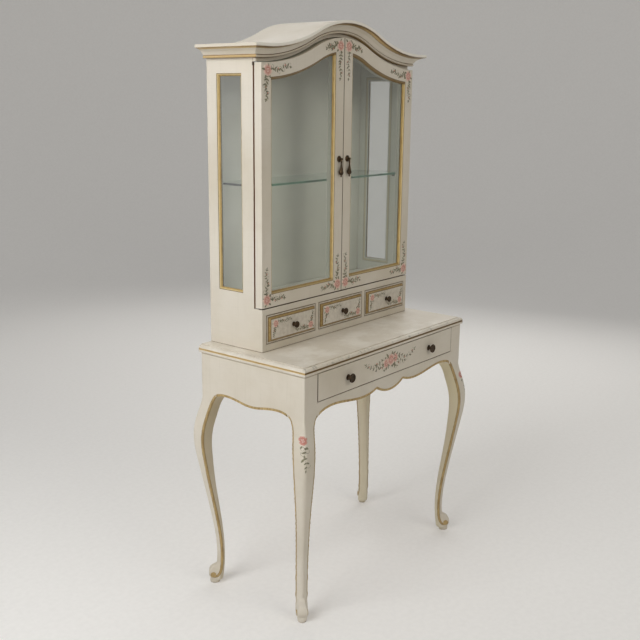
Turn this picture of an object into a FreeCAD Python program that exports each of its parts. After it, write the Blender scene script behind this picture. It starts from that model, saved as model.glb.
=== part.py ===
import FreeCAD, Part
import math
import os

# Ladies' writing desk with a glazed display cabinet on its top, in millimetres.
# X runs across the desk, the front looks along -Y, and Z is up from the floor.

V = FreeCAD.Vector

# Desk: top, legs and aprons
desk_height = 762.0
desk_width = 821.0
desk_depth = 403.0
top_thickness = 24.0
top_overhang = 5.0
top_step_inset = 12.0
top_step_drop = 2.0
top_groove_width = 2.4
top_groove_depth = 1.8
top_bead_height = 10.0
post_size = 56.0
apron_height = 126.0
knee_reach = 23.0
toe_setback = 10.0
toe_reach = 36.0
toe_height = 58.0
toe_width = 35.0
foot_setback = 29.0
foot_radius = 17.0
sole_radius = 14.5
foot_height = 13.0
apron_thickness = 20.0
front_apron_rise = 17.0
side_apron_rise = 9.0
tenon_length = 22.0
tenon_thickness = 8.0
tenon_shoulder = 14.0
block_size = 22.0
block_length = 60.0
block_spacing = 160.0

# Long drawer of the desk
drawer_gap = 1.5
drawer_top_gap = 3.0
drawer_height = 79.5
drawer_front_thickness = 20.0
drawer_side_clearance = 4.0
drawer_side_thickness = 12.0
drawer_side_height = 58.0
drawer_rear_gap = 27.0
drawer_bottom_thickness = 5.0
drawer_bottom_lift = 7.0
drawer_groove = 5.0
runner_thickness = 12.0
runner_bearing = 14.0
runner_guide_height = 18.0
runner_guide_width = 11.0
runner_clearance = 1.0
desk_knob_spacing = 424.0
desk_knob_head = 27.0
desk_knob_base = 18.0
desk_knob_reach = 18.0

# Cabinet case
cabinet_side_setback = 50.2
cabinet_depth = 204.0
cabinet_rear_setback = 1.5
panel_thickness = 16.0
bottom_thickness = 21.0
floor_thickness = 18.0
divider_thickness = 14.0
back_thickness = 8.0
small_opening_height = 85.0
window_front_stile = 43.0
window_head = 66.5
window_rear_stile = 37.0
window_sill = 39.0
frieze_thickness = 10.0
frieze_show = 10.0
cornice_height = 26.5
cornice_reach = 42.0
cornice_bead_height = 7.0
cornice_bead_reach = 12.0
cornice_bead_bulge = 2.5
cornice_cove_sag = 4.5
cove_flats = 3
roof_thickness = 8.5
roof_lip = 1.5
crest_rise = 80.0
shelf_thickness = 6.0
shelf_height = 337.0
shelf_front_gap = 6.0
shelf_end_gap = 2.0
pin_size = 6.0
pin_depth = 8.0
pin_reach = 9.0
pin_inset = 15.0
fit_clearance = 0.05

# Small drawers
lip_width = 4.5
bevel_run = 8.0
bevel_rise = 8.0
small_front_thickness = 14.0
small_side_thickness = 8.0
small_side_height = 66.0
small_rear_gap = 14.0
small_bottom_thickness = 4.0
small_bottom_lift = 5.0
small_groove = 4.0
small_knob_head = 20.0
small_knob_base = 14.0
small_knob_reach = 15.0

# Doors
door_thickness = 26.0
door_back_gap = 4.0
door_bottom_gap = 2.7
door_top_gap = 2.5
door_centre_gap = 2.0
door_end_height = 665.8
stile_width = 38.0
bottom_rail_width = 36.0
glass_thickness = 3.0
glass_edge_gap = 0.5
bead_setback = 1.0
bead_depth = 7.0
bead_face = 2.5
bead_width = 8.0
rebate_lip = 7.0
window_bead_depth = 6.0
window_bead_face = 2.5
window_bead_width = 7.0
window_lip = 6.0

# Door hinges, catches and pulls
hinge_inset = 5.5
hinge_plate = 1.8
hinge_leaf = 2.2
hinge_length = 16.0
hinge_edge = 1.2
hinge_half_width = 4.5
hinge_pin_radius = 2.0
hinge_end_gap = 0.4
catch_width = 20.0
catch_thickness = 14.0
catch_seat = 18.0
catch_grip = 14.0
catch_drop = 3.0
pull_height = 400.0
pull_rose_radius = 9.0
pull_rose_thickness = 4.0
pull_axis_reach = 9.0
pull_pin_radius = 1.2
pull_cheek = 1.6
pull_cheek_radius = 2.9
pull_bridge_height = 4.0
pull_slot = 3.4
pull_tang = 3.0
pull_tang_radius = 2.4
drop_length = 54.0
drop_radius = 8.0
drop_neck_radius = 3.0
drop_tip_radius = 1.8

# Cuts run past the faces that they open by this much
overrun = 2.0
sliver = 0.01

# Sawn edges of the aprons keep to their smooth line within this much
arc_tolerance = 0.3

# Cabriole leg from the post to the foot: height, outer reach, inner reach, round of the outer corner
# and cut of the inner corner, as shares of cabriole_height, knee_reach and three times post_size
leg_station_shares = (
    (1.000, 0.00, 1.000, 0.04, -0.05),
    (0.975, 0.08, 0.825, 0.08, -0.03),
    (0.900, 0.58, 0.590, 0.16, 0.02),
    (0.801, 1.00, 0.407, 0.22, 0.06),
    (0.670, 0.70, 0.420, 0.21, 0.09),
    (0.539, 0.15, 0.530, 0.19, 0.12),
    (0.343, -0.62, 0.765, 0.17, 0.16),
    (0.172, -1.00, 0.893, 0.17, 0.19),
    (0.016, -0.65, 0.770, 0.17, 0.14),
)

# Directions in degrees of the leg's faces: outer and inner, the inner corner, and the round outer corner
leg_face_turns = (0, 90, 180, 270, 225, 30, 60)

# Scrolled toe in the leg's diagonal plane, from the ankle over the scroll and under it: place behind the tip
# and height; and its width seen from the corner, from the foot up to the ankle: half width and height
toe_outline_shares = ((1.0, 1.59), (0.92, 1.28), (0.72, 1.09), (0.47, 0.99), (0.22, 0.90), (0.04, 0.72),
                      (0.0, 0.52), (0.11, 0.33), (0.28, 0.22))
toe_width_shares = ((1.0, 0.50), (0.93, 0.76), (0.70, 0.98), (0.36, 1.24), (0.0, 1.59))

# Lower edges of the aprons from the post to the middle: place along the opening, rise above the knee line
front_edge_shares = ((1.0, 0.0), (0.947, 0.57), (0.83, 1.0), (0.62, 0.65), (0.366, 0.18), (0.197, 0.85))
front_pendant_share = -0.32
side_edge_shares = ((1.0, 0.0), (0.87, 0.72), (0.69, 1.0), (0.36, 0.4), (0.0, -0.28))
back_edge_shares = ((1.0, 0.0), (0.95, 0.57), (0.86, 0.92), (0.76, 1.0))

# Turned hardware is small and repeats, so its rounds have this many sides
turned_sides = 18

# Turned knob: radius as a share of the head or base radius, place as a share of the reach
knob_base_shares = ((1.0, 0.0), (1.0, 0.09), (0.5, 0.28))
knob_head_shares = ((0.36, 0.52), (0.94, 0.72), (1.0, 0.86), (0.86, 1.0), (0.74, 0.95))

# Pull drop: radius as a share of drop_radius, place as a share of drop_length below the hinge pin
drop_outline_shares = ((0.40, 0.34), (0.64, 0.54), (0.96, 0.69), (1.0, 0.75), (0.78, 0.83), (0.28, 0.88))
rose_outline_shares = ((1.0, 0.0), (1.0, 0.5), (0.7, 1.0))

# Where the hollow of the crest turns into its round middle, from the middle to the end
crest_round_share = 0.35

# Levels and planes that the pieces share
top_under = desk_height - top_thickness
cabriole_height = top_under - apron_height
frame_x = desk_width / 2 - top_overhang
frame_y = desk_depth / 2 - top_overhang
post_inner_x = frame_x - post_size
post_inner_y = frame_y - post_size
drawer_top = top_under - drawer_top_gap
drawer_base = drawer_top - drawer_height
drawer_box_length = 2 * frame_y - drawer_front_thickness - apron_thickness - drawer_rear_gap
cabinet_x = desk_width / 2 - cabinet_side_setback
inner_x = cabinet_x - panel_thickness
cabinet_rear = desk_depth / 2 - cabinet_rear_setback
cabinet_front = cabinet_rear - cabinet_depth
back_front = cabinet_rear - back_thickness
small_opening_base = desk_height + bottom_thickness
small_opening_top = small_opening_base + small_opening_height
small_opening_width = (2 * inner_x - 2 * divider_thickness) / 3
small_pitch = small_opening_width + divider_thickness
small_box_length = cabinet_depth - back_thickness - small_front_thickness - small_rear_gap
floor_top = small_opening_top + floor_thickness
door_back = cabinet_front + door_thickness
panel_front = door_back + door_back_gap
frieze_front = panel_front - frieze_thickness
door_base = floor_top + door_bottom_gap
door_top = door_base + door_end_height
frieze_base = door_top + door_top_gap
cornice_base = frieze_base + frieze_show
roof_base = cornice_base + cornice_height
roof_top = roof_base + roof_thickness
window_rear = cabinet_rear - window_rear_stile
window_front = panel_front + window_front_stile
window_width = window_rear - window_front
window_base = floor_top + window_sill
window_top = roof_base - window_head
window_height = window_top - window_base
crest_length = cabinet_x
crest_radii = (crest_length ** 2 + crest_rise ** 2) / 2 / crest_rise
crest_slope = math.asin(crest_length / crest_radii)
round_centre = frieze_base + crest_rise - crest_radii * crest_round_share
hollow_centre = frieze_base + crest_radii * (1 - crest_round_share)
door_inner = door_centre_gap / 2
opening_inner = door_inner + stile_width
opening_outer = cabinet_x - stile_width
opening_base = door_base + bottom_rail_width
opening_top = door_top - stile_width
bead_front = cabinet_front + bead_setback
glass_front = bead_front + bead_depth
lip_front = glass_front + glass_thickness
hinge_x = cabinet_x - hinge_inset
hinge_y = door_back - hinge_inset
pull_x = door_inner + stile_width / 2
pull_z = door_base + pull_height
pull_y = cabinet_front - pull_axis_reach
shelf_base = floor_top + shelf_height

# The frame's origin lies under the middle of the whole piece, knobs and knees included
frame_shift = (max(desk_knob_reach, knee_reach) - knee_reach) / 2


def block(x0, x1, y0, y1, z0, z1):
    return Part.makeBox(x1 - x0, y1 - y0, z1 - z0, V(x0, y0, z0))


def mirror_x(shape):
    return shape.mirror(V(0, 0, 0), V(1, 0, 0))


def mirror_y(shape):
    return shape.mirror(V(0, 0, 0), V(0, 1, 0))


def lines(points):
    return [Part.makeLine(a, b) for a, b in zip(points, points[1:])]


def face(edges):
    return Part.Face(Part.Wire(Part.__sortEdges__(edges)))


def polygon(points):
    return Part.Face(Part.makePolygon(points + points[:1]))


def spline(points):
    smooth = Part.BSplineCurve()
    smooth.interpolate(points)
    return smooth


def curve(points):
    return spline(points).toShape()


def arcs(points):
    """Smooth line through the points, made of tangent arcs."""
    return [arc.toShape() for arc in spline(points).toBiArcs(arc_tolerance)]


def fuse(first, *others):
    return first.multiFuse(list(others)).removeSplitter()


def cylinder(radius, length, place, direction):
    return Part.makeCylinder(radius, length, place, direction)


def stacked(rings):
    """Solid with flat sides between rings of corners, one ring behind the other."""
    faces = [polygon(rings[0]), polygon(rings[-1])]
    for near, far in zip(rings, rings[1:]):
        for side in range(len(near)):
            faces.append(polygon([near[side - 1], near[side], far[side], far[side - 1]]))
    return Part.makeSolid(Part.makeShell(faces))


def turned(outline, place, axis, spoke):
    """Turned piece along axis: outline gives radius and distance from place, spoke its first direction."""
    spin = FreeCAD.Rotation(axis, 360 / turned_sides)
    spokes = [spoke]
    for _ in range(turned_sides - 1):
        spokes.append(spin.multVec(spokes[-1]))
    return stacked([[place + axis * distance + out * radius for out in spokes]
                    for radius, distance in outline])


# Crest curve: flat ends, a hollow on each side and a round middle, all tangent.
# Every crested line is parallel to the others and is named by the height of its flat ends.

def crest_break(level):
    """Where the hollow of the line turns into its round middle."""
    return (level + crest_rise - round_centre) * math.sin(crest_slope)


def crest(x, level):
    reach = abs(x)
    if reach >= crest_length:
        return level
    if reach > crest_break(level):
        return hollow_centre - math.sqrt((hollow_centre - level) ** 2 - (crest_length - reach) ** 2)
    return round_centre + math.sqrt((level + crest_rise - round_centre) ** 2 - reach ** 2)


def crest_edges(level, x0, x1, y):
    turn = crest_break(level)
    marks = [mark for mark in (-crest_length, -turn, turn, crest_length) if x0 + sliver < mark < x1 - sliver]
    stops = [x0] + marks + [x1]
    edges = []
    for start, end in zip(stops, stops[1:]):
        middle = (start + end) / 2
        a, m, b = [V(x, y, crest(x, level)) for x in (start, middle, end)]
        flat = abs(middle) >= crest_length
        edges.append(Part.makeLine(a, b) if flat else Part.Arc(a, m, b).toShape())
    return edges


def crest_outline(x0, x1, bottom, level, y):
    right, left = V(x1, y, crest(x1, level)), V(x0, y, crest(x0, level))
    return crest_edges(level, x0, x1, y) + lines([right, V(x1, y, bottom), V(x0, y, bottom), left])


def crest_board(x0, x1, bottom, level, y0, y1):
    """Board with a straight lower edge and a crested upper edge."""
    return face(crest_outline(x0, x1, bottom, level, y0)).extrude(V(0, y1 - y0, 0))


def crest_band(x0, x1, lower, upper, y0, y1):
    """Board whose lower and upper edges both follow the crest."""
    low = crest_edges(lower, x0, x1, y0)
    high = crest_edges(upper, x0, x1, y0)
    right = Part.makeLine(V(x1, y0, crest(x1, upper)), V(x1, y0, crest(x1, lower)))
    left = Part.makeLine(V(x0, y0, crest(x0, lower)), V(x0, y0, crest(x0, upper)))
    return face(high + [right] + low[::-1] + [left]).extrude(V(0, y1 - y0, 0))


# Desk

def top_edge(place):
    """Moulded edge of the top, from the upper face to the lower one: place(inset, height) gives a point."""
    ovolo_foot = top_under + top_bead_height + top_groove_width
    ovolo_head = desk_height - top_step_drop
    ovolo_drop = ovolo_head - ovolo_foot
    ovolo_middle = ovolo_drop * (1 - math.sqrt(1 / 2))
    step = place(top_step_inset, desk_height)
    step_foot = place(top_step_inset, ovolo_head)
    head = place(ovolo_drop, ovolo_head)
    middle = place(ovolo_middle, ovolo_head - ovolo_middle)
    foot = place(0, ovolo_foot)
    groove_in = place(top_groove_depth, ovolo_foot - top_groove_width / 2)
    bead_head = place(0, top_under + top_bead_height)
    bead_round = place(0, top_under + top_bead_height / 2)
    bead_foot = place(top_bead_height / 2, top_under)
    turn = top_bead_height / 2 * (1 - math.sqrt(1 / 2))
    corner = place(turn, top_under + turn)
    edges = lines([step, step_foot, head])
    edges.append(Part.Arc(head, middle, foot).toShape())
    edges += lines([foot, groove_in, bead_head, bead_round])
    edges.append(Part.Arc(bead_round, corner, bead_foot).toShape())
    return edges


def desk_top():
    """Slab with a moulded edge on the front and both sides, and a square back edge."""
    half_x, half_y = desk_width / 2, desk_depth / 2
    right = top_edge(lambda inset, z: V(half_x - inset, -half_y, z))
    left = top_edge(lambda inset, z: V(inset - half_x, -half_y, z))
    upper = lines([left[0].Vertexes[0].Point, right[0].Vertexes[0].Point])
    lower = lines([right[-1].Vertexes[-1].Point, left[-1].Vertexes[-1].Point])
    across = face(upper + right + lower + left).extrude(V(0, desk_depth, 0))
    front = top_edge(lambda inset, z: V(-half_x, inset - half_y, z))
    start, end = front[0].Vertexes[0].Point, front[-1].Vertexes[-1].Point
    rear = lines([end, V(-half_x, half_y, top_under), V(-half_x, half_y, desk_height), start])
    along = face(front + rear).extrude(V(desk_width, 0, 0))
    return across.common(along)


def leg_reaches(turn):
    """How far the leg's face that looks along turn lies from the post's outer corner, from top to foot."""
    cosine, sine = math.cos(math.radians(turn)), math.sin(math.radians(turn))
    reaches = []
    for height, outer, inner, corner, cut in leg_station_shares:
        out, back, curl = outer * knee_reach, inner * post_size, corner * post_size
        if turn <= 90:
            reach = (out - curl) * (cosine + sine) + curl
        elif turn == 225:
            reach = back * math.sqrt(2) - cut * post_size
        else:
            reach = back
        reaches.append((reach, height * cabriole_height))
    return reaches


def leg_half(turn):
    """All of the leg that lies behind its face that looks along turn, as one curved board."""
    out = V(math.cos(math.radians(turn)), math.sin(math.radians(turn)), 0)
    across = V(-out.y, out.x, 0)
    room = 2 * post_size
    corner = V(frame_x, frame_y, 0)
    points = [corner - across * room + out * reach + V(0, 0, z) for reach, z in leg_reaches(turn)]
    head = V(points[0].x, points[0].y, top_under)
    back_head = corner - across * room - out * room + V(0, 0, top_under)
    back_foot = V(back_head.x, back_head.y, points[-1].z)
    edges = [curve(points)] + lines([points[-1], back_foot, back_head, head, points[0]])
    return face(edges).extrude(across * 2 * room)


def leg_toe():
    """Scrolled toe of the rear right leg: outlined from the side and narrowed as seen from the corner."""
    out = V(1, 1, 0).normalize()
    across = V(1, -1, 0).normalize()
    half = toe_width / 2
    tip = V(frame_x, frame_y, 0) - out * toe_setback
    side = [tip - across * half - out * toe_reach * back + V(0, 0, toe_height * up)
            for back, up in toe_outline_shares]
    ankle, under = side[0], side[-1]
    inner = V(ankle.x, ankle.y, under.z)
    scroll = face(arcs(side) + lines([under, inner, ankle])).extrude(across * toe_width)
    rear = tip - out * toe_reach
    right = [rear + across * half * reach + V(0, 0, toe_height * up) for reach, up in toe_width_shares]
    left = [rear - across * half * reach + V(0, 0, toe_height * up) for reach, up in toe_width_shares]
    right_foot, left_foot = V(right[0].x, right[0].y, under.z), V(left[0].x, left[0].y, under.z)
    sides = lines([left[0], left_foot, right_foot, right[0]])
    dome = face(arcs(right) + arcs(left) + sides).extrude(out * toe_reach)
    return scroll.common(dome)


def leg_blank():
    """Rear right leg from post to foot, sawn from two sides and then along its corners."""
    halves = [leg_half(turn) for turn in leg_face_turns]
    leg = halves[0]
    for half in halves[1:]:
        leg = leg.common(half)
    foot_place = foot_setback * math.sqrt(1 / 2)
    foot_centre = V(frame_x - foot_place, frame_y - foot_place, 0)
    foot = turned([(sole_radius, 0), (foot_radius, foot_height)], foot_centre, V(0, 0, 1), V(1, 0, 0))
    return fuse(leg, leg_toe(), foot)


def side_apron():
    """Right-hand apron between the posts, with a double arched lower edge and a tenon at each end."""
    half = [V(frame_x, -y * post_inner_y, cabriole_height + z * side_apron_rise)
            for y, z in side_edge_shares]
    other = [V(p.x, -p.y, p.z) for p in half[-2::-1]]
    lower = arcs(half + other)
    front, rear = half[0], other[-1]
    upper = lines([rear, V(frame_x, post_inner_y, top_under), V(frame_x, -post_inner_y, top_under), front])
    board = face(lower + upper).extrude(V(-apron_thickness, 0, 0))
    cheek = (apron_thickness - tenon_thickness) / 2
    tenon = block(frame_x - cheek - tenon_thickness, frame_x - cheek,
                  -post_inner_y - tenon_length, post_inner_y + tenon_length,
                  cabriole_height + tenon_shoulder, top_under - tenon_shoulder)
    gap = block(frame_x - apron_thickness, frame_x, -post_inner_y, post_inner_y, 0, desk_height)
    return fuse(board, tenon.cut(gap))


def cross_apron(lower_edges, upper, outer_y, depth, tenon_low, tenon_high):
    """Apron across the desk: its face is at outer_y and its thickness runs by depth."""
    left, right = V(-post_inner_x, outer_y, cabriole_height), V(post_inner_x, outer_y, cabriole_height)
    sides = lines([right, V(post_inner_x, outer_y, upper), V(-post_inner_x, outer_y, upper), left])
    board = face(lower_edges + sides).extrude(V(0, depth, 0))
    cheek = (apron_thickness - tenon_thickness) / 2 * math.copysign(1, depth)
    y0, y1 = sorted((outer_y + cheek, outer_y + depth - cheek))
    reach = post_inner_x + tenon_length
    tenons = [block(-reach, -post_inner_x, y0, y1, tenon_low, tenon_high),
              block(post_inner_x, reach, y0, y1, tenon_low, tenon_high)]
    return fuse(board, *tenons)


def front_apron():
    """Rail under the long drawer: serpentine lower edge with a round pendant between two cusps."""
    half = [V(x * post_inner_x, -frame_y, cabriole_height + z * front_apron_rise)
            for x, z in front_edge_shares]
    other = [V(-p.x, p.y, p.z) for p in half]
    pendant = V(0, -frame_y, cabriole_height + front_pendant_share * front_apron_rise)
    lower = arcs(half) + [Part.Arc(half[-1], pendant, other[-1]).toShape()] + arcs(other)
    upper = drawer_base - drawer_gap
    return cross_apron(lower, upper, -frame_y, apron_thickness, cabriole_height + tenon_shoulder, upper)


def back_apron():
    """Plain rear apron with a straight lower edge that curves down to the posts."""
    half = [V(x * post_inner_x, frame_y, cabriole_height + z * front_apron_rise)
            for x, z in back_edge_shares]
    other = [V(-p.x, p.y, p.z) for p in half]
    lower = arcs(half) + lines([half[-1], other[-1]]) + arcs(other)
    return cross_apron(lower, top_under, frame_y, -apron_thickness,
                       cabriole_height + tenon_shoulder, top_under - tenon_shoulder)


def runner():
    """Right-hand runner of the long drawer: a bearing under the drawer side and a guide beside it."""
    side = post_inner_x - drawer_side_clearance
    low, high = drawer_base - runner_thickness, drawer_base
    apron_x, apron_y = frame_x - apron_thickness, frame_y - apron_thickness
    bearing = block(side - runner_bearing, post_inner_x, -apron_y, apron_y, low, high)
    wing = block(post_inner_x, apron_x, -post_inner_y, post_inner_y, low, high)
    guide_x = side + runner_clearance
    guide = block(guide_x, guide_x + runner_guide_width, -post_inner_y, post_inner_y,
                  high, high + runner_guide_height)
    return fuse(bearing, wing, guide)


def corner_block(y):
    """Three-cornered block under the top, against the right-hand apron."""
    x = frame_x - apron_thickness
    start = y - block_length / 2
    points = [V(x, start, top_under), V(x - block_size, start, top_under),
              V(x, start, top_under - block_size)]
    return polygon(points).extrude(V(0, block_length, 0))


# Drawers

def drawer_box(centre, half_width, base, height, front_y, length, wall, groove, lift, bottom):
    """Two sides, a back and a grooved-in bottom behind a drawer front."""
    rear = front_y + length
    inner = half_width - wall
    floor = block(centre - inner - groove, centre + inner + groove, front_y, rear - wall,
                  base + lift, base + lift + bottom)
    right = block(centre + inner, centre + half_width, front_y, rear, base, base + height).cut(floor)
    left = block(centre - half_width, centre - inner, front_y, rear, base, base + height).cut(floor)
    back = block(centre - inner, centre + inner, rear - wall, rear, base, base + height)
    return left, right, back, floor


def desk_drawer_front():
    half = post_inner_x - drawer_gap
    return block(-half, half, -frame_y, drawer_front_thickness - frame_y, drawer_base, drawer_top)


def small_drawer_front(centre):
    """Flush board with a raised field: the slope round the field is the gilded bevel."""
    half = small_opening_width / 2 - drawer_gap
    low, high = small_opening_base + drawer_gap, small_opening_top - drawer_gap
    board = block(centre - half, centre + half, cabinet_front, cabinet_front + small_front_thickness,
                  low, high)
    rings = []
    for inset, y in ((lip_width, cabinet_front), (lip_width + bevel_run, cabinet_front - bevel_rise)):
        rings.append([V(centre - half + inset, y, low + inset), V(centre + half - inset, y, low + inset),
                      V(centre + half - inset, y, high - inset), V(centre - half + inset, y, high - inset)])
    return fuse(board, stacked(rings))


def knob(x, y, z, base, head, reach):
    """Turned knob with a dished face that stands out to the front from the point x, y, z."""
    outline = [(base / 2 * r, reach * t) for r, t in knob_base_shares]
    outline += [(head / 2 * r, reach * t) for r, t in knob_head_shares]
    return turned(outline, V(x, y, z), V(0, -1, 0), V(0, 0, 1))


# Cabinet case

def side_panel():
    """Right-hand side: full depth beside the small drawers, stepped back behind the doors."""
    profile = [V(inner_x, cabinet_front, desk_height), V(inner_x, cabinet_rear, desk_height),
               V(inner_x, cabinet_rear, roof_base), V(inner_x, panel_front, roof_base),
               V(inner_x, panel_front, floor_top), V(inner_x, cabinet_front, floor_top)]
    panel = polygon(profile).extrude(V(panel_thickness, 0, 0))
    seat = inner_x + panel_thickness - window_bead_depth - bead_setback - glass_thickness
    light = block(seat, cabinet_x + overrun, window_front, window_rear, window_base, window_top)
    through = block(inner_x - overrun, seat, window_front + window_lip, window_rear - window_lip,
                    window_base + window_lip, window_top - window_lip)
    return panel.cut([light, through] + shelf_pins())


def window_glass():
    front = cabinet_x - bead_setback - window_bead_depth
    return block(front - glass_thickness, front, window_front + glass_edge_gap, window_rear - glass_edge_gap,
                 window_base + glass_edge_gap, window_top - glass_edge_gap)


def window_beads():
    """Four mitred beads in the right-hand window, two upright and two level."""
    face_x = cabinet_x - bead_setback
    glass_x = face_x - window_bead_depth
    middle_y, middle_z = (window_front + window_rear) / 2, (window_base + window_top) / 2
    profile = ((face_x, 0), (face_x, window_bead_face), (glass_x, window_bead_width), (glass_x, 0))
    sill = polygon([V(x, window_front, window_base + inset) for x, inset in profile])
    jamb = polygon([V(x, window_front + inset, window_base) for x, inset in profile])
    sill = sill.extrude(V(0, window_width, 0))
    jamb = jamb.extrude(V(0, 0, window_height))
    mitre = window_width / 2
    ends = [V(glass_x, window_front, window_base), V(glass_x, window_front + mitre, window_base + mitre),
            V(glass_x, window_rear, window_base)]
    below = polygon(ends).extrude(V(window_bead_depth, 0, 0))
    above = below.mirror(V(0, 0, middle_z), V(0, 0, 1))
    lower = sill.common(below)
    front = jamb.cut([below, above])
    upper = lower.mirror(V(0, 0, middle_z), V(0, 0, 1))
    rear = front.mirror(V(0, middle_y, 0), V(0, 1, 0))
    return [lower, upper, front, rear]


def cabinet_bottom():
    return block(-inner_x, inner_x, cabinet_front, back_front, desk_height, small_opening_base)


def display_floor():
    return block(-inner_x, inner_x, cabinet_front, back_front, small_opening_top, floor_top)


def drawer_divider(centre):
    half = divider_thickness / 2
    return block(centre - half, centre + half, cabinet_front, back_front,
                 small_opening_base, small_opening_top)


def back_panel():
    return crest_board(-inner_x, inner_x, desk_height, roof_base, back_front, cabinet_rear)


def frieze_board():
    return crest_band(-cabinet_x, cabinet_x, frieze_base, roof_base, frieze_front, panel_front)


def roof_board():
    reach = cabinet_x + cornice_reach + roof_lip
    front = frieze_front - cornice_reach - roof_lip
    return crest_band(-reach, reach, roof_base, roof_top, front, cabinet_rear)


def cornice_section(place):
    """Bead, cove and square top of the cornice, planed in flats: place(reach, height) gives a point."""
    points = [place(0, 0), place(cornice_bead_reach, 0),
              place(cornice_bead_reach + cornice_bead_bulge, cornice_bead_height / 2)]
    run, rise = cornice_reach - cornice_bead_reach, cornice_height - cornice_bead_height
    chord = math.hypot(run, rise)
    for part in range(cove_flats):
        along = part / cove_flats
        sag = cornice_cove_sag * 4 * along * (1 - along)
        points.append(place(cornice_bead_reach + run * along - sag * rise / chord,
                            cornice_bead_height + rise * along + sag * run / chord))
    return polygon(points + [place(cornice_reach, cornice_height), place(0, cornice_height)])


def cornice_front():
    """Front cornice: its section is turned about the centres of the crest and mitred at both ends."""
    def section(x):
        return cornice_section(lambda out, up: V(x, frieze_front - out, cornice_base + up))
    turn = math.degrees(crest_slope)
    end = section(crest_length).extrude(V(cornice_reach, 0, 0))
    hollow = section(crest_length).revolve(V(crest_length, 0, hollow_centre), V(0, 1, 0), turn)
    middle = section(0).translated(V(0, 0, crest_rise))
    middle = middle.revolve(V(0, 0, round_centre), V(0, 1, 0), turn)
    half = fuse(end, hollow, middle)
    whole = fuse(half, mirror_x(half))
    reach = cabinet_x + cornice_reach
    plan = [V(-cabinet_x, frieze_front, 0), V(-reach, frieze_front - cornice_reach, 0),
            V(reach, frieze_front - cornice_reach, 0), V(cabinet_x, frieze_front, 0)]
    mitres = polygon(plan).extrude(V(0, 0, roof_top + crest_rise))
    return whole.common(mitres)


def cornice_return():
    """Right-hand return of the cornice, level along the side and mitred to the front."""
    tip_y = frieze_front - cornice_reach
    section = cornice_section(lambda out, up: V(cabinet_x + out, tip_y, cornice_base + up))
    length = section.extrude(V(0, cabinet_rear - tip_y, 0))
    plan = [V(cabinet_x, frieze_front, 0), V(cabinet_x + cornice_reach, tip_y, 0),
            V(cabinet_x + cornice_reach, cabinet_rear, 0), V(cabinet_x, cabinet_rear, 0)]
    return length.common(polygon(plan).extrude(V(0, 0, roof_top)))


def glass_shelf():
    half = inner_x - shelf_end_gap
    return block(-half, half, panel_front + shelf_front_gap, back_front - shelf_end_gap,
                 shelf_base, shelf_base + shelf_thickness)


def shelf_pins():
    """Square pins under the shelf, let into the right-hand side."""
    front, rear = panel_front + shelf_front_gap + pin_inset, back_front - pin_inset
    return [block(inner_x - pin_reach, inner_x + pin_depth, y - pin_size / 2, y + pin_size / 2,
                  shelf_base - pin_size, shelf_base) for y in (front, rear)]


# Doors, built on the right and mirrored to the left

def hinge_recess(z0, z1):
    return block(cabinet_x - hinge_length, cabinet_x - hinge_edge, hinge_y - hinge_half_width,
                 hinge_y + hinge_half_width, z0, z1)


def hinge_pin(radius, z0, z1):
    return cylinder(radius, z1 - z0, V(hinge_x, hinge_y, z0), V(0, 0, 1))


def stile(x0, x1, lip_x0, lip_x1):
    """Upright of the door frame with a rebate lip behind the glass."""
    upright = crest_board(x0, x1, door_base, door_top, cabinet_front, door_back)
    lip = crest_board(lip_x0, lip_x1, opening_base + rebate_lip, opening_top - rebate_lip,
                      lip_front, door_back)
    return fuse(upright, lip)


def outer_stile():
    whole = stile(opening_outer, cabinet_x, opening_outer - rebate_lip, opening_outer)
    return whole.cut([hinge_recess(door_top - hinge_leaf, door_top + crest_rise),
                      hinge_recess(door_base - overrun, door_base + hinge_leaf)])


def inner_stile():
    return stile(door_inner, opening_inner, opening_inner, opening_inner + rebate_lip)


def top_rail():
    rail = crest_band(opening_inner, opening_outer, opening_top, door_top, cabinet_front, door_back)
    lip = crest_band(opening_inner, opening_outer, opening_top - rebate_lip, opening_top,
                     lip_front, door_back)
    return fuse(rail, lip)


def bottom_rail():
    rail = block(opening_inner, opening_outer, cabinet_front, door_back, door_base, opening_base)
    lip = block(opening_inner, opening_outer, lip_front, door_back, opening_base, opening_base + rebate_lip)
    return fuse(rail, lip)


def door_glass():
    return crest_board(opening_inner + glass_edge_gap, opening_outer - glass_edge_gap,
                       opening_base + glass_edge_gap, opening_top - glass_edge_gap, glass_front, lip_front)


def door_beads():
    """Glazing beads round the crested opening: one sloped ring, parted at four mitres."""
    def ring_wire(inset, y):
        return Part.Wire(crest_outline(opening_inner + inset, opening_outer - inset, opening_base + inset,
                                       opening_top - inset, y))
    whole = crest_board(opening_inner, opening_outer, opening_base, opening_top, bead_front, glass_front)
    hollow = Part.makeLoft([ring_wire(bead_face, bead_front), ring_wire(bead_width, glass_front)], True, True)
    ring = whole.cut(hollow)
    inner_head = crest(opening_inner, opening_top)
    outer_head = crest(opening_outer, opening_top)
    def wedge(x, towards, head):
        mitre = bead_width + overrun
        points = [V(x, bead_front, opening_base), V(x + towards * mitre, bead_front, opening_base + mitre),
                  V(x + towards * mitre, bead_front, head - mitre), V(x, bead_front, head)]
        return polygon(points).extrude(V(0, bead_depth, 0))
    uprights = [wedge(opening_inner, 1, inner_head), wedge(opening_outer, -1, outer_head)]
    rest = ring.cut(uprights)
    return [ring.common(upright) for upright in uprights] + rest.Solids


def hinge_leaves():
    """Leaves let flush into the top and bottom of the door, each bored for a fixed pin."""
    hole = hinge_pin_radius + fit_clearance
    spans = ((door_top - hinge_leaf, door_top), (door_base, door_base + hinge_leaf))
    return [hinge_recess(low, high).cut(hinge_pin(hole, low - overrun, high + overrun))
            for low, high in spans]


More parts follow.
